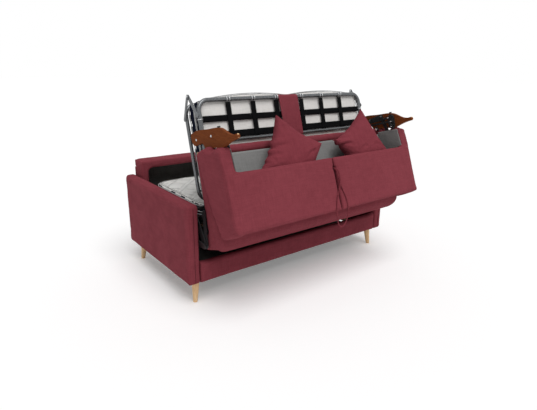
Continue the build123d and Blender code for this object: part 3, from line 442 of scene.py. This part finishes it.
def remesh(obj, size):
    """Gives a skin an even mesh of one pitch, with the edges rounded by it."""
    mod = obj.modifiers.new("remesh", "REMESH")
    mod.mode = "VOXEL"
    mod.voxel_size = size
    mod.use_smooth_shade = True
    apply_modifiers(obj)
    drop_crumbs(obj)


def soften(obj, rounds):
    """Evens out a skin, in a number of rounds."""
    mod = obj.modifiers.new("smooth", "SMOOTH")
    mod.factor = 0.5
    mod.iterations = rounds
    apply_modifiers(obj)


def node_copy(node, name, mat):
    """A new piece that starts from a CAD solid's own shape."""
    obj = bpy.data.objects.new(name, frame["nodes"][node].data.copy())
    obj.data.materials.clear()
    return link(obj, mat)


def mirrored(obj, name):
    """The same piece on the other side of the sofa."""
    twin = obj.copy()
    twin.data = obj.data.copy()
    twin.name = name
    bpy.context.scene.collection.objects.link(twin)
    co = get_co(twin)
    co[:, 0] *= -1
    set_co(twin, co)
    twin.data.flip_normals()
    return twin


PUFF_FRAMES = 12


def puff(obj, cap, inset, pressure=4.0):
    """Blows a cloth skin up a little, with every point held within the cap of where it was."""
    if inset:
        set_co(obj, get_co(obj) - get_normals(obj) * inset)
    if not cap:
        return
    start = get_co(obj).copy()
    scene = bpy.context.scene
    mod = obj.modifiers.new("cloth", "CLOTH")
    settings = mod.settings
    settings.quality = 5
    settings.mass = 0.3
    settings.tension_stiffness = 15
    settings.compression_stiffness = 15
    settings.shear_stiffness = 5
    settings.bending_stiffness = 0.5
    settings.use_pressure = True
    settings.uniform_pressure_force = pressure
    settings.effector_weights.gravity = 0
    mod.collision_settings.use_collision = False
    mod.point_cache.frame_start = 1
    mod.point_cache.frame_end = PUFF_FRAMES
    for n in range(1, PUFF_FRAMES + 1):
        scene.frame_set(n)
    deps = bpy.context.evaluated_depsgraph_get()
    done = np.empty(len(obj.data.vertices) * 3)
    obj.evaluated_get(deps).data.vertices.foreach_get("co", done)
    done = done.reshape(-1, 3)
    move = done - start
    size = np.linalg.norm(move, axis=1, keepdims=True)
    move *= np.minimum(1, cap / np.maximum(size, 1e-9))
    obj.modifiers.remove(mod)
    scene.frame_set(1)
    set_co(obj, start + move)


def wave_noise(p, scale, seed):
    """A soft noise at a point, fixed by its seed."""
    return noise.noise(Vector(p) * scale + Vector((seed * 3.1, seed * 1.7, seed * 2.3)))


def ripple(obj, amount, scale, seed):
    """Moves the skin in and out by the soft noise."""
    co, normals = get_co(obj), get_normals(obj)
    values = np.array([wave_noise(p, scale, seed) for p in co])
    set_co(obj, co + normals * (values * amount)[:, None])


def curve(name, points, radius, mat, closed=False, around=3, between=6):
    """A round cord along points, with its steps around it and between two points."""
    data = bpy.data.curves.new(name, "CURVE")
    data.dimensions = "3D"
    data.bevel_depth = radius
    data.bevel_resolution = around
    data.use_fill_caps = not closed
    spline = data.splines.new("NURBS")
    spline.points.add(len(points) - 1)
    for p, q in zip(spline.points, points):
        p.co = (*q, 1)
    spline.use_cyclic_u = closed
    spline.order_u = 3
    spline.use_endpoint_u = not closed
    spline.resolution_u = between
    data.materials.append(mat)
    obj = bpy.data.objects.new(name, data)
    bpy.context.scene.collection.objects.link(obj)
    return obj


def tube(name, points, radius, mat, closed=False):
    """The same kind of cord, as a mesh."""
    obj = curve(name, points, radius, mat, closed)
    deps = bpy.context.evaluated_depsgraph_get()
    mesh = bpy.data.meshes.new_from_object(obj.evaluated_get(deps))
    bpy.data.objects.remove(obj)
    return link(bpy.data.objects.new(name, mesh))


def join(name, objs):
    """Joins loose pieces of one make into one."""
    bm = bmesh.new()
    mats = []
    for obj in objs:
        own = list(obj.data.materials)
        for mat in own:
            if mat not in mats:
                mats.append(mat)
        start = len(bm.faces)
        bm.from_mesh(obj.data)
        bm.faces.ensure_lookup_table()
        for face in bm.faces[start:]:
            face.material_index = mats.index(own[min(face.material_index, len(own) - 1)])
    mesh = bpy.data.meshes.new(name)
    bm.to_mesh(mesh)
    bm.free()
    for obj in objs:
        bpy.data.objects.remove(obj)
    out = link(bpy.data.objects.new(name, mesh))
    for mat in mats:
        out.data.materials.append(mat)
    return out


def settle(obj, body, nodes=()):
    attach(obj, body)
    if nodes:
        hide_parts(*nodes)
    return obj


# The pull cord

# Each point of the cord: across, down from the panel's top edge, and out from its face, in millimetres.
CORD_ROUTE = [
    (-4.5, 0.4, -28.2), (-4.5, -2.0, -1.2), (-3.5, 19.0, 19.3), (1.0, 56.0, 13.0),
    (9.0, 96.0, 9.4), (24.0, 138.0, 9.0), (37.0, 184.0, 9.0), (42.0, 230.0, 9.0),
    (41.0, 274.0, 1.9), (33.0, 308.0, -10.7), (17.0, 340.0, -22.0), (-10.0, 356.0, -27.5),
    (-37.0, 340.0, -21.5), (-51.0, 306.0, -9.0), (-57.0, 268.0, 4.9), (-53.0, 224.0, 10.9),
    (-40.0, 182.0, 12.0), (-21.0, 140.0, 15.5), (-3.0, 98.0, 21.7), (6.5, 60.0, 24.0),
    (5.5, 19.0, 20.8), (4.5, -2.0, -1.2), (4.5, 0.4, -28.2),
]


def panel_height(along, depth=0.0):
    """The sloping face of the rear panel at a place along it, or a face so much deeper."""
    return 348.0 - 29.0 / 322.0 * (along - 62.0) - depth


def pull_cord():
    """The cloth cord that hangs in a loop from the split between the two panels."""
    points = []
    for x, drop, lift in CORD_ROUTE:
        along = 318.0 - drop
        points.append(unit(x, along, panel_height(along) + lift))
    obj = curve("pull_cord", points, 0.0035, CORD, around=4, between=8)
    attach(obj, "backrest")
    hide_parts("pull_strap")


pull_cord()


# Upholstery

def upholstered(node, name, mat, voxel, cap, body, rounds, inset, seed, bumps=0.0012):
    """A stuffed cover over one CAD node: remeshed, blown up and rippled."""
    obj = node_copy(node, name, mat)
    remesh(obj, voxel)
    soften(obj, rounds)
    puff(obj, cap, inset)
    ripple(obj, bumps, 9.0, seed)
    ripple(obj, bumps * 0.4, 34.0, seed + 5)
    return settle(obj, body, (node,))


def arms():
    """The covers of the two arms, one the mirror image of the other."""
    right = node_copy("right_arm", "right_arm_cover", MAROON_UP)
    remesh(right, 0.009)
    soften(right, 8)
    puff(right, 0.004, 0.002, pressure=3.0)
    ripple(right, 0.0014, 7.0, 3)
    left = mirrored(right, "left_arm_cover")
    settle(right, "base", ("right_arm",))
    settle(left, "base", ("left_arm",))


def arc_through(p, q, r, count):
    """Points along the circle through three points, from the first to the last."""
    (ax, ay), (bx, by), (cx, cy) = p, q, r
    d = 2 * (ax * (by - cy) + bx * (cy - ay) + cx * (ay - by))
    pp, qq, rr = (x * x + y * y for x, y in (p, q, r))
    ux = (pp * (by - cy) + qq * (cy - ay) + rr * (ay - by)) / d
    uy = (pp * (cx - bx) + qq * (ax - cx) + rr * (bx - ax)) / d
    radius = math.hypot(ax - ux, ay - uy)
    start, middle, end = (math.atan2(y - uy, x - ux) for x, y in (p, q, r))
    sweep = (end - start) % (2 * math.pi)
    if not 0 <= (middle - start) % (2 * math.pi) <= sweep:
        sweep -= 2 * math.pi
    turns = [start + sweep * n / (count - 1) for n in range(count)]
    return [(ux + radius * math.cos(a), uy + radius * math.sin(a)) for a in turns]


SHEET_THICKNESS = 0.0012


def sheet_grid(name, place, nu, nv, mat):
    """A thin sheet over a grid, from a rule that places a point by two shares."""
    verts = [place(i / nu, j / nv) for j in range(nv + 1) for i in range(nu + 1)]
    row = nu + 1
    corners = [j * row + i for j in range(nv) for i in range(nu)]
    faces = [(k, k + 1, k + row + 1, k + row) for k in corners]
    obj = mesh_object(name, verts, faces, mat)
    mod = obj.modifiers.new("thick", "SOLIDIFY")
    mod.thickness = SHEET_THICKNESS
    mod.offset = 0
    apply_modifiers(obj)
    return obj


def base_point(x, y, z):
    """A point of the standing base, from millimetres in its drawing to the row frame."""
    return Vector((x / 1000, BASE_Y + y / 1000, z / 1000))


def base_linings():
    """The mottled black lining in the recess of the back, and the sheet under the base."""
    def back(u, v):
        x, z = -718 + 1436 * u, 150 + 522 * v
        bulge = 2.2 * wave_noise((x / 1000, z / 1000, 0), 9.0, 2)
        return base_point(x, 878.4 + bulge * math.sin(math.pi * u) * math.sin(math.pi * v) - 1.2, z)

    piece = sheet_grid("recess_lining", back, 90, 34, BLACK_CLOTH)
    settle(piece, "base", ("back_lining",))

    def under(u, v):
        x, y = -702 + 1404 * u, 68 + 789 * v
        sag = 5.0 * math.sin(math.pi * u) * math.sin(math.pi * v)
        return base_point(x, y, 133.8 - sag + 0.8 * wave_noise((x / 1000, y / 1000, 0), 12.0, 5))

    piece = sheet_grid("underside_lining", under, 60, 34, BLACK_CLOTH)
    settle(piece, "base", ("bottom_lining",))


def pocket_bag():
    """The grey bag in the pocket, which also lines the inner faces of the stiles."""
    floor = [p for p in arc_through((505, 122.9), (272, 158.9), (34, 253.9), 40) if 96 < p[0] < 486]
    deep = floor[-1][0]
    back = [(s, panel_height(s, 34)) for s in (deep, 372)]
    path = [(489, floor[0][1])] + floor + back
    lengths = [0.0]
    for p, q in zip(path, path[1:]):
        lengths.append(lengths[-1] + math.dist(p, q))

    def along(v):
        want = v * lengths[-1]
        for n in range(len(path) - 1):
            if want <= lengths[n + 1] + 1e-6:
                share = (want - lengths[n]) / (lengths[n + 1] - lengths[n])
                return [a + (b - a) * share for a, b in zip(path[n], path[n + 1])]
        return path[-1]

    def bag(u, v):
        x = -681.5 + 1363 * u
        s, m = along(v)
        lift = 3.0 * wave_noise((x / 1000, s / 1000, m / 1000), 8.0, 9) * math.sin(math.pi * u)
        inward = 1 if v < 0.5 else -1
        return unit(x, s, m + inward * (lift + 1.5))

    body = sheet_grid("pocket_bag", bag, 110, 60, GREY_CLOTH)
    ends = []
    for side in (-1, 1):
        def wall(u, v):
            s = 100 + 403 * u
            low = np.interp(min(s, 486), [p[0] for p in floor[::-1]], [p[1] for p in floor[::-1]])
            high = panel_height(s, 31) if s < 384 else 312 - (s - 384) * 0.18
            m = low + (high - low) * v
            wave = 0.8 * wave_noise((s / 1000, m / 1000, 0), 14.0, 4)
            return unit(side * (675.5 + wave), s, m)
        ends.append(sheet_grid(f"bag_end_{side}", wall, 40, 20, GREY_CLOTH))
    piece = join("pocket_lining_cloth", [body, *ends])
    settle(piece, "backrest", ("pocket_lining",))


STRAP_WIDTH, STRAP_THICKNESS, STRAP_SAG = 0.036, 0.0022, 0.0006
STRAP_PROFILE = [(-0.5, 0.0), (-0.47, 0.5), (-0.2, 0.42), (0.2, 0.42),
                 (0.47, 0.5), (0.5, 0.0), (0.47, -0.5), (-0.47, -0.5)]


def ribbon(start, end, across, normal, seed, width=STRAP_WIDTH):
    """A woven elastic strap between two points, with rounded selvedges and a little wave."""
    start, end, across, normal = (Vector(v) for v in (start, end, across, normal))
    count = max(12, int((end - start).length / 0.02))
    verts, faces = [], []
    for n in range(count + 1):
        centre = start.lerp(end, n / count)
        centre += normal * STRAP_SAG * noise.noise(centre * 9.0 + Vector((seed, seed * 2.0, 0)))
        for a, b in STRAP_PROFILE:
            verts.append(centre + across * (a * width) + normal * (b * STRAP_THICKNESS))
    ring = len(STRAP_PROFILE)
    for n in range(count):
        for k in range(ring):
            a, b = n * ring + k, n * ring + (k + 1) % ring
            faces.append((a, b, b + ring, a + ring))
    faces.append(tuple(range(ring))[::-1])
    faces.append(tuple(range(count * ring, (count + 1) * ring)))
    return mesh_object("strap", verts, faces, WEBBING)


ACROSS = Vector((1, 0, 0))
ALONG = unit(0, 1000, 0) - unit(0, 0, 0)
UP = unit(0, 0, 1000) - unit(0, 0, 0)


def finish_straps(name, straps, body, node):
    """Joins one section's straps into one piece, fixed to its section in place of the CAD webbing."""
    piece = join(name, straps)
    settle(piece, body, (node,))


def even_places(low, high, count):
    """Places evenly between two limits, and off both."""
    return [low + (high - low) / (count + 1) * (n + 1) for n in range(count)]


def webbing():
    """The elastic straps of all three sections of the bed."""
    straps = []
    for n, x in enumerate((105, 283, 461)):
        for side in (-1, 1):
            a, b = unit(side * x, 579, -2.3), unit(side * x, 785, -2.3)
            straps.append(ribbon(a, b, ACROSS, UP, n * 2 + side))
    for s, width in ((696, STRAP_WIDTH), (602, 0.04)):
        a, b = unit(-640, s, -5.4), unit(640, s, -5.4)
        straps.append(ribbon(a, b, ALONG, UP, s, width))
    for n, s in enumerate(even_places(268.7, 569.0, 4)):
        a, b = unit(-644, s, -2.3), unit(644, s, -2.3)
        straps.append(ribbon(a, b, ALONG, UP, n + 20))
    finish_straps("mid_straps", straps, "mid_section", "mid_webbing")
    straps = []
    for n, s in enumerate(even_places(262.7, 791.7, 7)):
        a, b = unit(-651, s, -138.1), unit(651, s, -138.1)
        straps.append(ribbon(a, b, ALONG, UP, n + 30))
    finish_straps("foot_straps", straps, "foot_section", "foot_webbing")
    straps = []
    for n, y in enumerate(even_places(124, 778, 7)):
        a, b = base_point(-667, y, 503.5), base_point(667, y, 503.5)
        straps.append(ribbon(a, b, Vector((0, 1, 0)), Vector((0, 0, 1)), n + 40))
    finish_straps("head_straps", straps, "head_section", "head_webbing")


def strip():
    """The cloth strip down the middle of the frame, over its top tube and down behind it."""
    path = [(556.5, 10.7), (640, 11.3), (720, 11.5), (790, 11.7), (803, 11.3),
            (812, 6.6), (816.4, -0.9), (817, -8.9), (817, -16.9)]

    def place(u, v):
        want = v * (len(path) - 1)
        n = min(int(want), len(path) - 2)
        share = want - n
        s, m = (a + (b - a) * share for a, b in zip(path[n], path[n + 1]))
        reach = min(1.0, max(0.0, (s - 556) / 246))
        width_left = 75 + 16 * reach
        width_right = 75 - 9 * reach
        x = -width_left + (width_left + width_right) * u
        lift = 0.8 * wave_noise((x / 1000, s / 1000, 0), 16.0, 6)
        return unit(x, s, m + lift * (1 if v < 0.45 else 0))

    piece = sheet_grid("centre_strip_cloth", place, 26, 64, MAROON)
    settle(piece, "mid_section", ("centre_strip",))


def plan_outline(half, near, far, corner, bulge=33.0):
    """A folding mattress seen from above: a straight near end, and two soft swells at the far end."""
    points = []
    for cx, cy, start in ((half - corner, near + corner, -90), (-half + corner, near + corner, 180)):
        turns = [math.radians(start + 15 * n) for n in range(7)]
        points.append([(cx + corner * math.cos(a), cy + corner * math.sin(a)) for a in turns])
    right, left = points
    shoulder, waist = far - bulge, far - bulge / 2
    side = [(half, near + corner + (shoulder - 40 - near - corner) * n / 10) for n in range(1, 11)]
    turn = [(half - 40 + 40 * math.cos(a), shoulder - 40 + 40 * math.sin(a)) for a in (0.3, 0.6, 0.9, 1.2)]
    swell = arc_through((half - 30, shoulder + 5), (half / 2, far), (12, waist), 22)
    far_end = turn + swell
    other = [(-x, y) for x, y in reversed(far_end)]
    back = [(-x, y) for x, y in reversed(side)]
    return right + side + far_end + other + back + left


def mattress(node, name, body, normal, skins, seed):
    """A mattress of two quilted faces and a dark border between them."""
    obj = node_copy(node, name, skins[0])
    for mat in skins[1:]:
        obj.data.materials.append(mat)
    remesh(obj, 0.010)
    soften(obj, 3)
    puff(obj, 0.003, 0.002)
    ripple(obj, 0.0022, 11.0, seed)
    ripple(obj, 0.0011, 42.0, seed + 3)
    for poly in obj.data.polygons:
        facing = poly.normal.dot(normal)
        poly.material_index = 0 if facing > 0.6 else (1 if facing < -0.6 else 2)
    return settle(obj, body, (node,))


HEAD_PIPINGS = ((-0.5, 553.5, 0.0032, PALE_PIPING), (17, 564.3, 0.0014, QUILT_THREAD),
                (29, 564.6, 0.0012, QUILT_THREAD), (-0.5, 516.0, 0.003, PALE_PIPING))


def mattresses():
    """The three mattresses, with their borders, pipings and sewn lines."""
    leaning = (UNDER_QUILT, LEANING_QUILT, NAVY)
    mattress("mid_mattress", "mid_quilt", "mid_section", UP, leaning, 18)
    mattress("foot_mattress", "foot_quilt", "foot_section", -UP, leaning, 19)
    for name, near, heights in (("mid", 214, (-19.0, -72.5)), ("foot", 253, (-79.0, -133.5))):
        points = plan_outline(648.5, near, 835.2, 14)
        rims = []
        for up in heights:
            loop = [unit(x, s, up) for x, s in points]
            rims.append(tube("rim", loop, 0.0028, PALE_PIPING, closed=True))
        settle(join(f"{name}_piping", rims), f"{name}_section")
    half, low, high, corner = 680.0, 102.0, 800.0, 110.0
    # The head mattress's top takes the quilt that is painted lighter, as painted light.
    level = (QUILT, UNDER_QUILT, NAVY)
    mattress("head_mattress", "head_quilt", "head_section", Vector((0, 0, 1)), level, 17)
    centres = ((half - corner, high - corner, 0), (-half + corner, high - corner, 90),
               (-half + corner, low + corner, 180), (half - corner, low + corner, 270))
    for inset, up, radius, mat in HEAD_PIPINGS:
        r = corner - inset
        loop = []
        for cx, cy, start in centres:
            for n in range(9):
                a = math.radians(start + 90 * n / 8)
                loop.append(base_point(cx + r * math.cos(a), cy + r * math.sin(a), up))
        piece = tube("head_piping", loop, radius, mat, closed=True)
        settle(piece, "head_section")


def gather(obj, side):
    """Draws the cloth at the top of a padded end into soft lumps, as where it is pulled over the frame."""
    co = get_co(obj)
    for n, p in enumerate(co):
        x, s, m = to_unit(p)
        edge = min(1.0, max(0.0, (s - 470) / 45))
        if edge <= 0:
            continue
        lump = math.sin(m / 19.0 + 0.8) * 9.0 + 6.0 * noise.noise(Vector((x * 0.03, m * 0.045, s * 0.02)))
        ds = (lump - 2.5) * edge
        dx = side * 3.5 * math.cos(m / 17.0) * edge * (1 if side * x > 712 else 0)
        co[n] = unit(x + dx, s + ds, m)
    set_co(obj, co)


def creases(obj, centre, spread, amount, seed):
    """Presses narrow creases into a cushion, running out from the place where it is squeezed."""
    co, normals = get_co(obj), get_normals(obj)
    for n, p in enumerate(co):
        x, s, m = to_unit(p)
        dx, ds = x - centre[0], s - centre[1]
        away = math.hypot(dx, ds)
        reach = math.exp(-(away / spread) ** 2) * min(1.0, away / 30)
        if reach < 0.02:
            continue
        value = noise.noise(Vector((math.atan2(ds, dx) * 2.6, away * 0.007, seed * 3.7)))
        ridge = max(0.0, 1 - abs(value) * 6)
        co[n] = p - normals[n] * (ridge * amount * reach)
    set_co(obj, co)


# Each fold of a pillow: its two ends, across and along in millimetres, and its share of the full depth.
PILLOW_FOLDS = {
    "left": (((-445, 455), (-275, 497), 1.0), ((-430, 432), (-335, 444), 0.8),
             ((-478, 388), (-412, 405), 0.9), ((-160, 408), (-70, 440), 0.7),
             ((-250, 560), (-215, 600), 0.4)),
    "right": (((135, 428), (250, 452), 1.0), ((120, 462), (205, 492), 0.6),
              ((430, 430), (520, 398), 0.45), ((290, 396), (380, 420), 0.35)),
}


def folds(obj, lines, depth=0.0075, width=9.0):
    """Presses slack folds into a cushion: grooves with a soft roll above them, fading at both ends."""
    co, normals = get_co(obj), get_normals(obj)
    for n, p in enumerate(co):
        x, s, _ = to_unit(p)
        move = 0.0
        for (ax, ay), (bx, by), share in lines:
            lx, ly = bx - ax, by - ay
            size = math.hypot(lx, ly)
            place = ((x - ax) * lx + (s - ay) * ly) / size ** 2
            off = ((s - ay) * lx - (x - ax) * ly) / size - 10 * math.sin(math.pi * place)
            if abs(place - 0.5) > 1 or abs(off) > 6 * width:
                continue
            fade = share * math.exp(-((place - 0.5) / 0.45) ** 4)
            roll = 0.8 * math.exp(-((off / width - 2) / 1.5) ** 2)
            groove = math.exp(-(off / width) ** 2)
            move += fade * (roll - groove)
        co[n] = p + normals[n] * (move * depth)
    set_co(obj, co)


def round_corners(obj, radius, slice_depth=20.0):
    """Rounds the two outer corners of a padded end, slice by slice from its front to its back."""
    points = np.array([to_unit(p) for p in get_co(obj)])
    half = np.abs(points[:, 0]).max()
    slices = np.floor(points[:, 2] / slice_depth).astype(int)
    ends = {n: (points[slices == n, 1].min(), points[slices == n, 1].max()) for n in set(slices)}
    for n, (x, s, m) in enumerate(points):
        low, high = ends[slices[n]]
        for end, way in ((low, 1), (high, -1)):
            dx, ds = abs(x) - (half - radius), radius - way * (s - end)
            reach = math.hypot(dx, ds)
            if dx > 0 and ds > 0 and reach > radius:
                across = math.copysign(half - radius + dx * radius / reach, x)
                points[n] = across, end + way * (radius - ds * radius / reach), m
    set_co(obj, np.array([unit(*p) for p in points]))


def backrest_end(side, sign):
    """One padded end of the backrest and its half of the front panel, under one cover."""
    nodes = (f"{side}_gusset", f"{side}_panel")
    overlap = 0.004
    parts = [node_copy(node, node + "_part", MAROON) for node in nodes]
    for part in parts:
        set_co(part, get_co(part) + get_normals(part) * overlap)
    piece = join(f"{side}_backrest_cover", parts)
    remesh(piece, 0.0075)
    set_co(piece, get_co(piece) - get_normals(piece) * overlap)
    round_corners(piece, 26.0)
    soften(piece, 8)
    puff(piece, 0.005, -0.0005)
    ripple(piece, 0.0012, 9.0, 12 + sign)
    ripple(piece, 0.0005, 34.0, 17 + sign)
    gather(piece, sign)
    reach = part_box("right_gusset")[1].x + 0.001
    co = get_co(piece)
    co[:, 0] = np.clip(co[:, 0], -reach, reach)
    set_co(piece, co)
    settle(piece, "backrest", nodes)


def pillows():
    """The two throw pillows that stand in the pocket, slack where the pocket squeezes them."""
    for side, seed, spot in (("left", 15, (-300, 370)), ("right", 16, (300, 370))):
        piece = node_copy(f"pillow_{side}", f"{side}_pillow", PILLOW)
        remesh(piece, 0.006)
        soften(piece, 3)
        puff(piece, 0.020, 0.006)
        ripple(piece, 0.003, 9.0, seed)
        creases(piece, spot, 150, 0.003, seed)
        folds(piece, PILLOW_FOLDS[side])
        settle(piece, "backrest", (f"pillow_{side}",))
        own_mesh(piece)


def widen_recess(piece):
    """Moves the recess's side faces out, so that the lining's edge stands clear of them."""
    co = get_co(piece)
    inner = (np.abs(co[:, 0]) > 0.690) & (np.abs(co[:, 0]) < 0.722) & (co[:, 2] < 0.668)
    co[inner, 0] += np.sign(co[inner, 0]) * 0.012
    set_co(piece, co)


def upholstery():
    """All the stuffed pieces, from the base up."""
    arms()
    upholstered("front_rail", "front_rail_cover", MAROON_UP, 0.009, 0.003, "base", 3, 0.0015, 4)
    back = upholstered("back_frame", "back_frame_cover", MAROON_UP, 0.009, 0.003, "base", 2, 0.0015, 6)
    widen_recess(back)
    upholstered("rear_board", "rear_cover", MAROON_UP, 0.009, 0.0, "base", 1, 0.0, 7)
    upholstered("seat_cushion", "seat_cover", MAROON, 0.010, 0.007, "seat", 4, 0.001, 8)
    upholstered("backrest_cushion", "backrest_pad_cover", MAROON, 0.010, 0.004, "backrest", 3, 0.003, 9)
    upholstered("backrest_rail", "backrest_rail_cover", MAROON, 0.006, 0.002, "backrest", 2, 0.001, 10,
                bumps=0.003)
    for side, sign in (("left", -1), ("right", 1)):
        backrest_end(side, sign)
    pillows()
    mattresses()


def seams():
    """The sewn seams of the arms, in a darker thread."""
    lines = []
    for side in (-1, 1):
        points = [base_point(side * 802, 0.7, z) for z in (150, 260, 380, 500, 600)]
        lines.append(tube("seam", points, 0.0009, STITCH))
    settle(join("arm_seams", lines), "base")


def plate_tips():
    """The pale end grain that shows at the tips of the side plates."""
    bits = []
    for side in (-1, 1):
        for s in (549, 561):
            a, b = unit(side * 693.2, s, 393), unit(side * 693.2, s + 1, 404.5)
            bits.append(tube("tip", [a, a.lerp(b, 0.5), b], 0.005, BEECH))
    settle(join("plate_tip_ends", bits), "backrest")


def capsule(a, b, radius, steps=8):
    """The outline of a flat bar with round ends about two points, in along and up."""
    heading = math.atan2(b[1] - a[1], b[0] - a[0])
    points = []
    for centre, start in ((b, heading - math.pi / 2), (a, heading + math.pi / 2)):
        for n in range(steps + 1):
            turn = start + math.pi * n / steps
            points.append((centre[0] + radius * math.cos(turn), centre[1] + radius * math.sin(turn)))
    return points


def flat_part(outline, x_low, x_high, mat):
    """A flat steel part with softened edges, standing across the side plane."""
    verts = [unit(x, s, m) for x in (x_low, x_high) for s, m in outline]
    count = len(outline)
    faces = [tuple(range(count))[::-1], tuple(range(count, 2 * count))]
    faces += [(k, (k + 1) % count, (k + 1) % count + count, k + count) for k in range(count)]
    part = mesh_object("flat_part", verts, faces, mat)
    bm = bmesh.new()
    bm.from_mesh(part.data)
    bmesh.ops.recalc_face_normals(bm, faces=bm.faces)
    bm.to_mesh(part.data)
    bm.free()
    mod = part.modifiers.new("edges", "BEVEL")
    mod.width = 0.0009
    mod.segments = 2
    mod.limit_method = "ANGLE"
    apply_modifiers(part)
    part.data.polygons.foreach_set("use_smooth", [False] * len(part.data.polygons))
    return part


def plate_hardware():
    """The dark bars and brackets on the inner faces of the side plates, with their bolt heads."""
    bars = (((580, 56), (587, 232), 8.0, 670.0), ((558, 60), (561, 238), 6.5, 670.0),
            ((552, 238), (514, 264), 8.0, 665.0), ((538, 120), (516, 132), 7.0, 670.0))
    bolts = ((587, 231), (524, 250), (560, 252), (524, 128))
    parts = []
    for side in (-1, 1):
        for a, b, radius, x in bars:
            parts.append(flat_part(capsule(a, b, radius), side * x, side * (x + 3.5), DARK_ZINC))
        parts.append(flat_part(capsule((582, 250), (536, 252), 26), side * 674, side * 678.5, DARK_ZINC))
        for s, m in bolts:
            head = capsule((s, m - 0.1), (s, m + 0.1), 5.0)
            parts.append(flat_part(head, side * 662.5, side * 665.5, ZINC))
            shank = capsule((s, m - 0.1), (s, m + 0.1), 3.0)
            parts.append(flat_part(shank, side * 665.0, side * 683.0, ZINC))
    piece = join("plate_hardware", parts)
    piece.data.polygons.foreach_set("use_smooth", [False] * len(piece.data.polygons))
    settle(piece, "backrest")


upholstery()
plate_hardware()
base_linings()
pocket_bag()
webbing()
strip()
seams()
plate_tips()


# Floor, backdrop and light

FLOOR_GLOW, SKY, SUN = 0.195, 0.35, 1.95
SUN_WAY = (0.06, 0.45, -0.89)


def seen_rays(nodes, links):
    """One where a ray comes from the camera, a mirror or a glass, so that each sees plain white."""
    path = nodes.new("ShaderNodeLightPath")
    first = math_node(nodes, links, "MAXIMUM", path.outputs["Is Camera Ray"], path.outputs["Is Glossy Ray"])
    return math_node(nodes, links, "MAXIMUM", first, path.outputs["Is Transmission Ray"])


def floor_material():
    """A matt pale floor that reads white to the camera and still takes the object's shadow."""
    mat, nodes, links, shader = tree("floor_white")
    shader.inputs["Base Color"].default_value = (0.92, 0.92, 0.92, 1)
    shader.inputs["Roughness"].default_value = 1.0
    shader.inputs["Specular IOR Level"].default_value = 0.0
    shader.inputs["Emission Color"].default_value = (1, 1, 1, 1)
    level = math_node(nodes, links, "MULTIPLY", seen_rays(nodes, links), FLOOR_GLOW)
    links.new(level, shader.inputs["Emission Strength"])
    return mat


def make_stage():
    """The white floor, the white sky and one broad light from above and in front."""
    size = 40.0
    corners = [(-size, -size, 0), (size, -size, 0), (size, size, 0), (-size, size, 0)]
    floor = mesh_object("floor", corners, [(0, 1, 2, 3)], floor_material(), smooth=False)
    world = bpy.data.worlds.new("studio")
    bpy.context.scene.world = world
    world.use_nodes = True
    nodes, links = world.node_tree.nodes, world.node_tree.links
    back = nodes["Background"]
    back.inputs[0].default_value = (1, 1, 1, 1)
    back.inputs[1].default_value = SKY
    white = nodes.new("ShaderNodeBackground")
    white.inputs[0].default_value = (1, 1, 1, 1)
    white.inputs[1].default_value = 1.0
    mix = nodes.new("ShaderNodeMixShader")
    links.new(seen_rays(nodes, links), mix.inputs[0])
    links.new(back.outputs[0], mix.inputs[1])
    links.new(white.outputs[0], mix.inputs[2])
    links.new(mix.outputs[0], nodes["World Output"].inputs[0])
    data = bpy.data.lights.new("key_light", "SUN")
    data.angle = math.radians(45)
    data.energy = SUN
    lamp = bpy.data.objects.new("key_light", data)
    bpy.context.scene.collection.objects.link(lamp)
    lamp.rotation_euler = Vector(SUN_WAY).to_track_quat("-Z", "Y").to_euler()
    bpy.context.scene.view_settings.view_transform = "Standard"


make_stage()
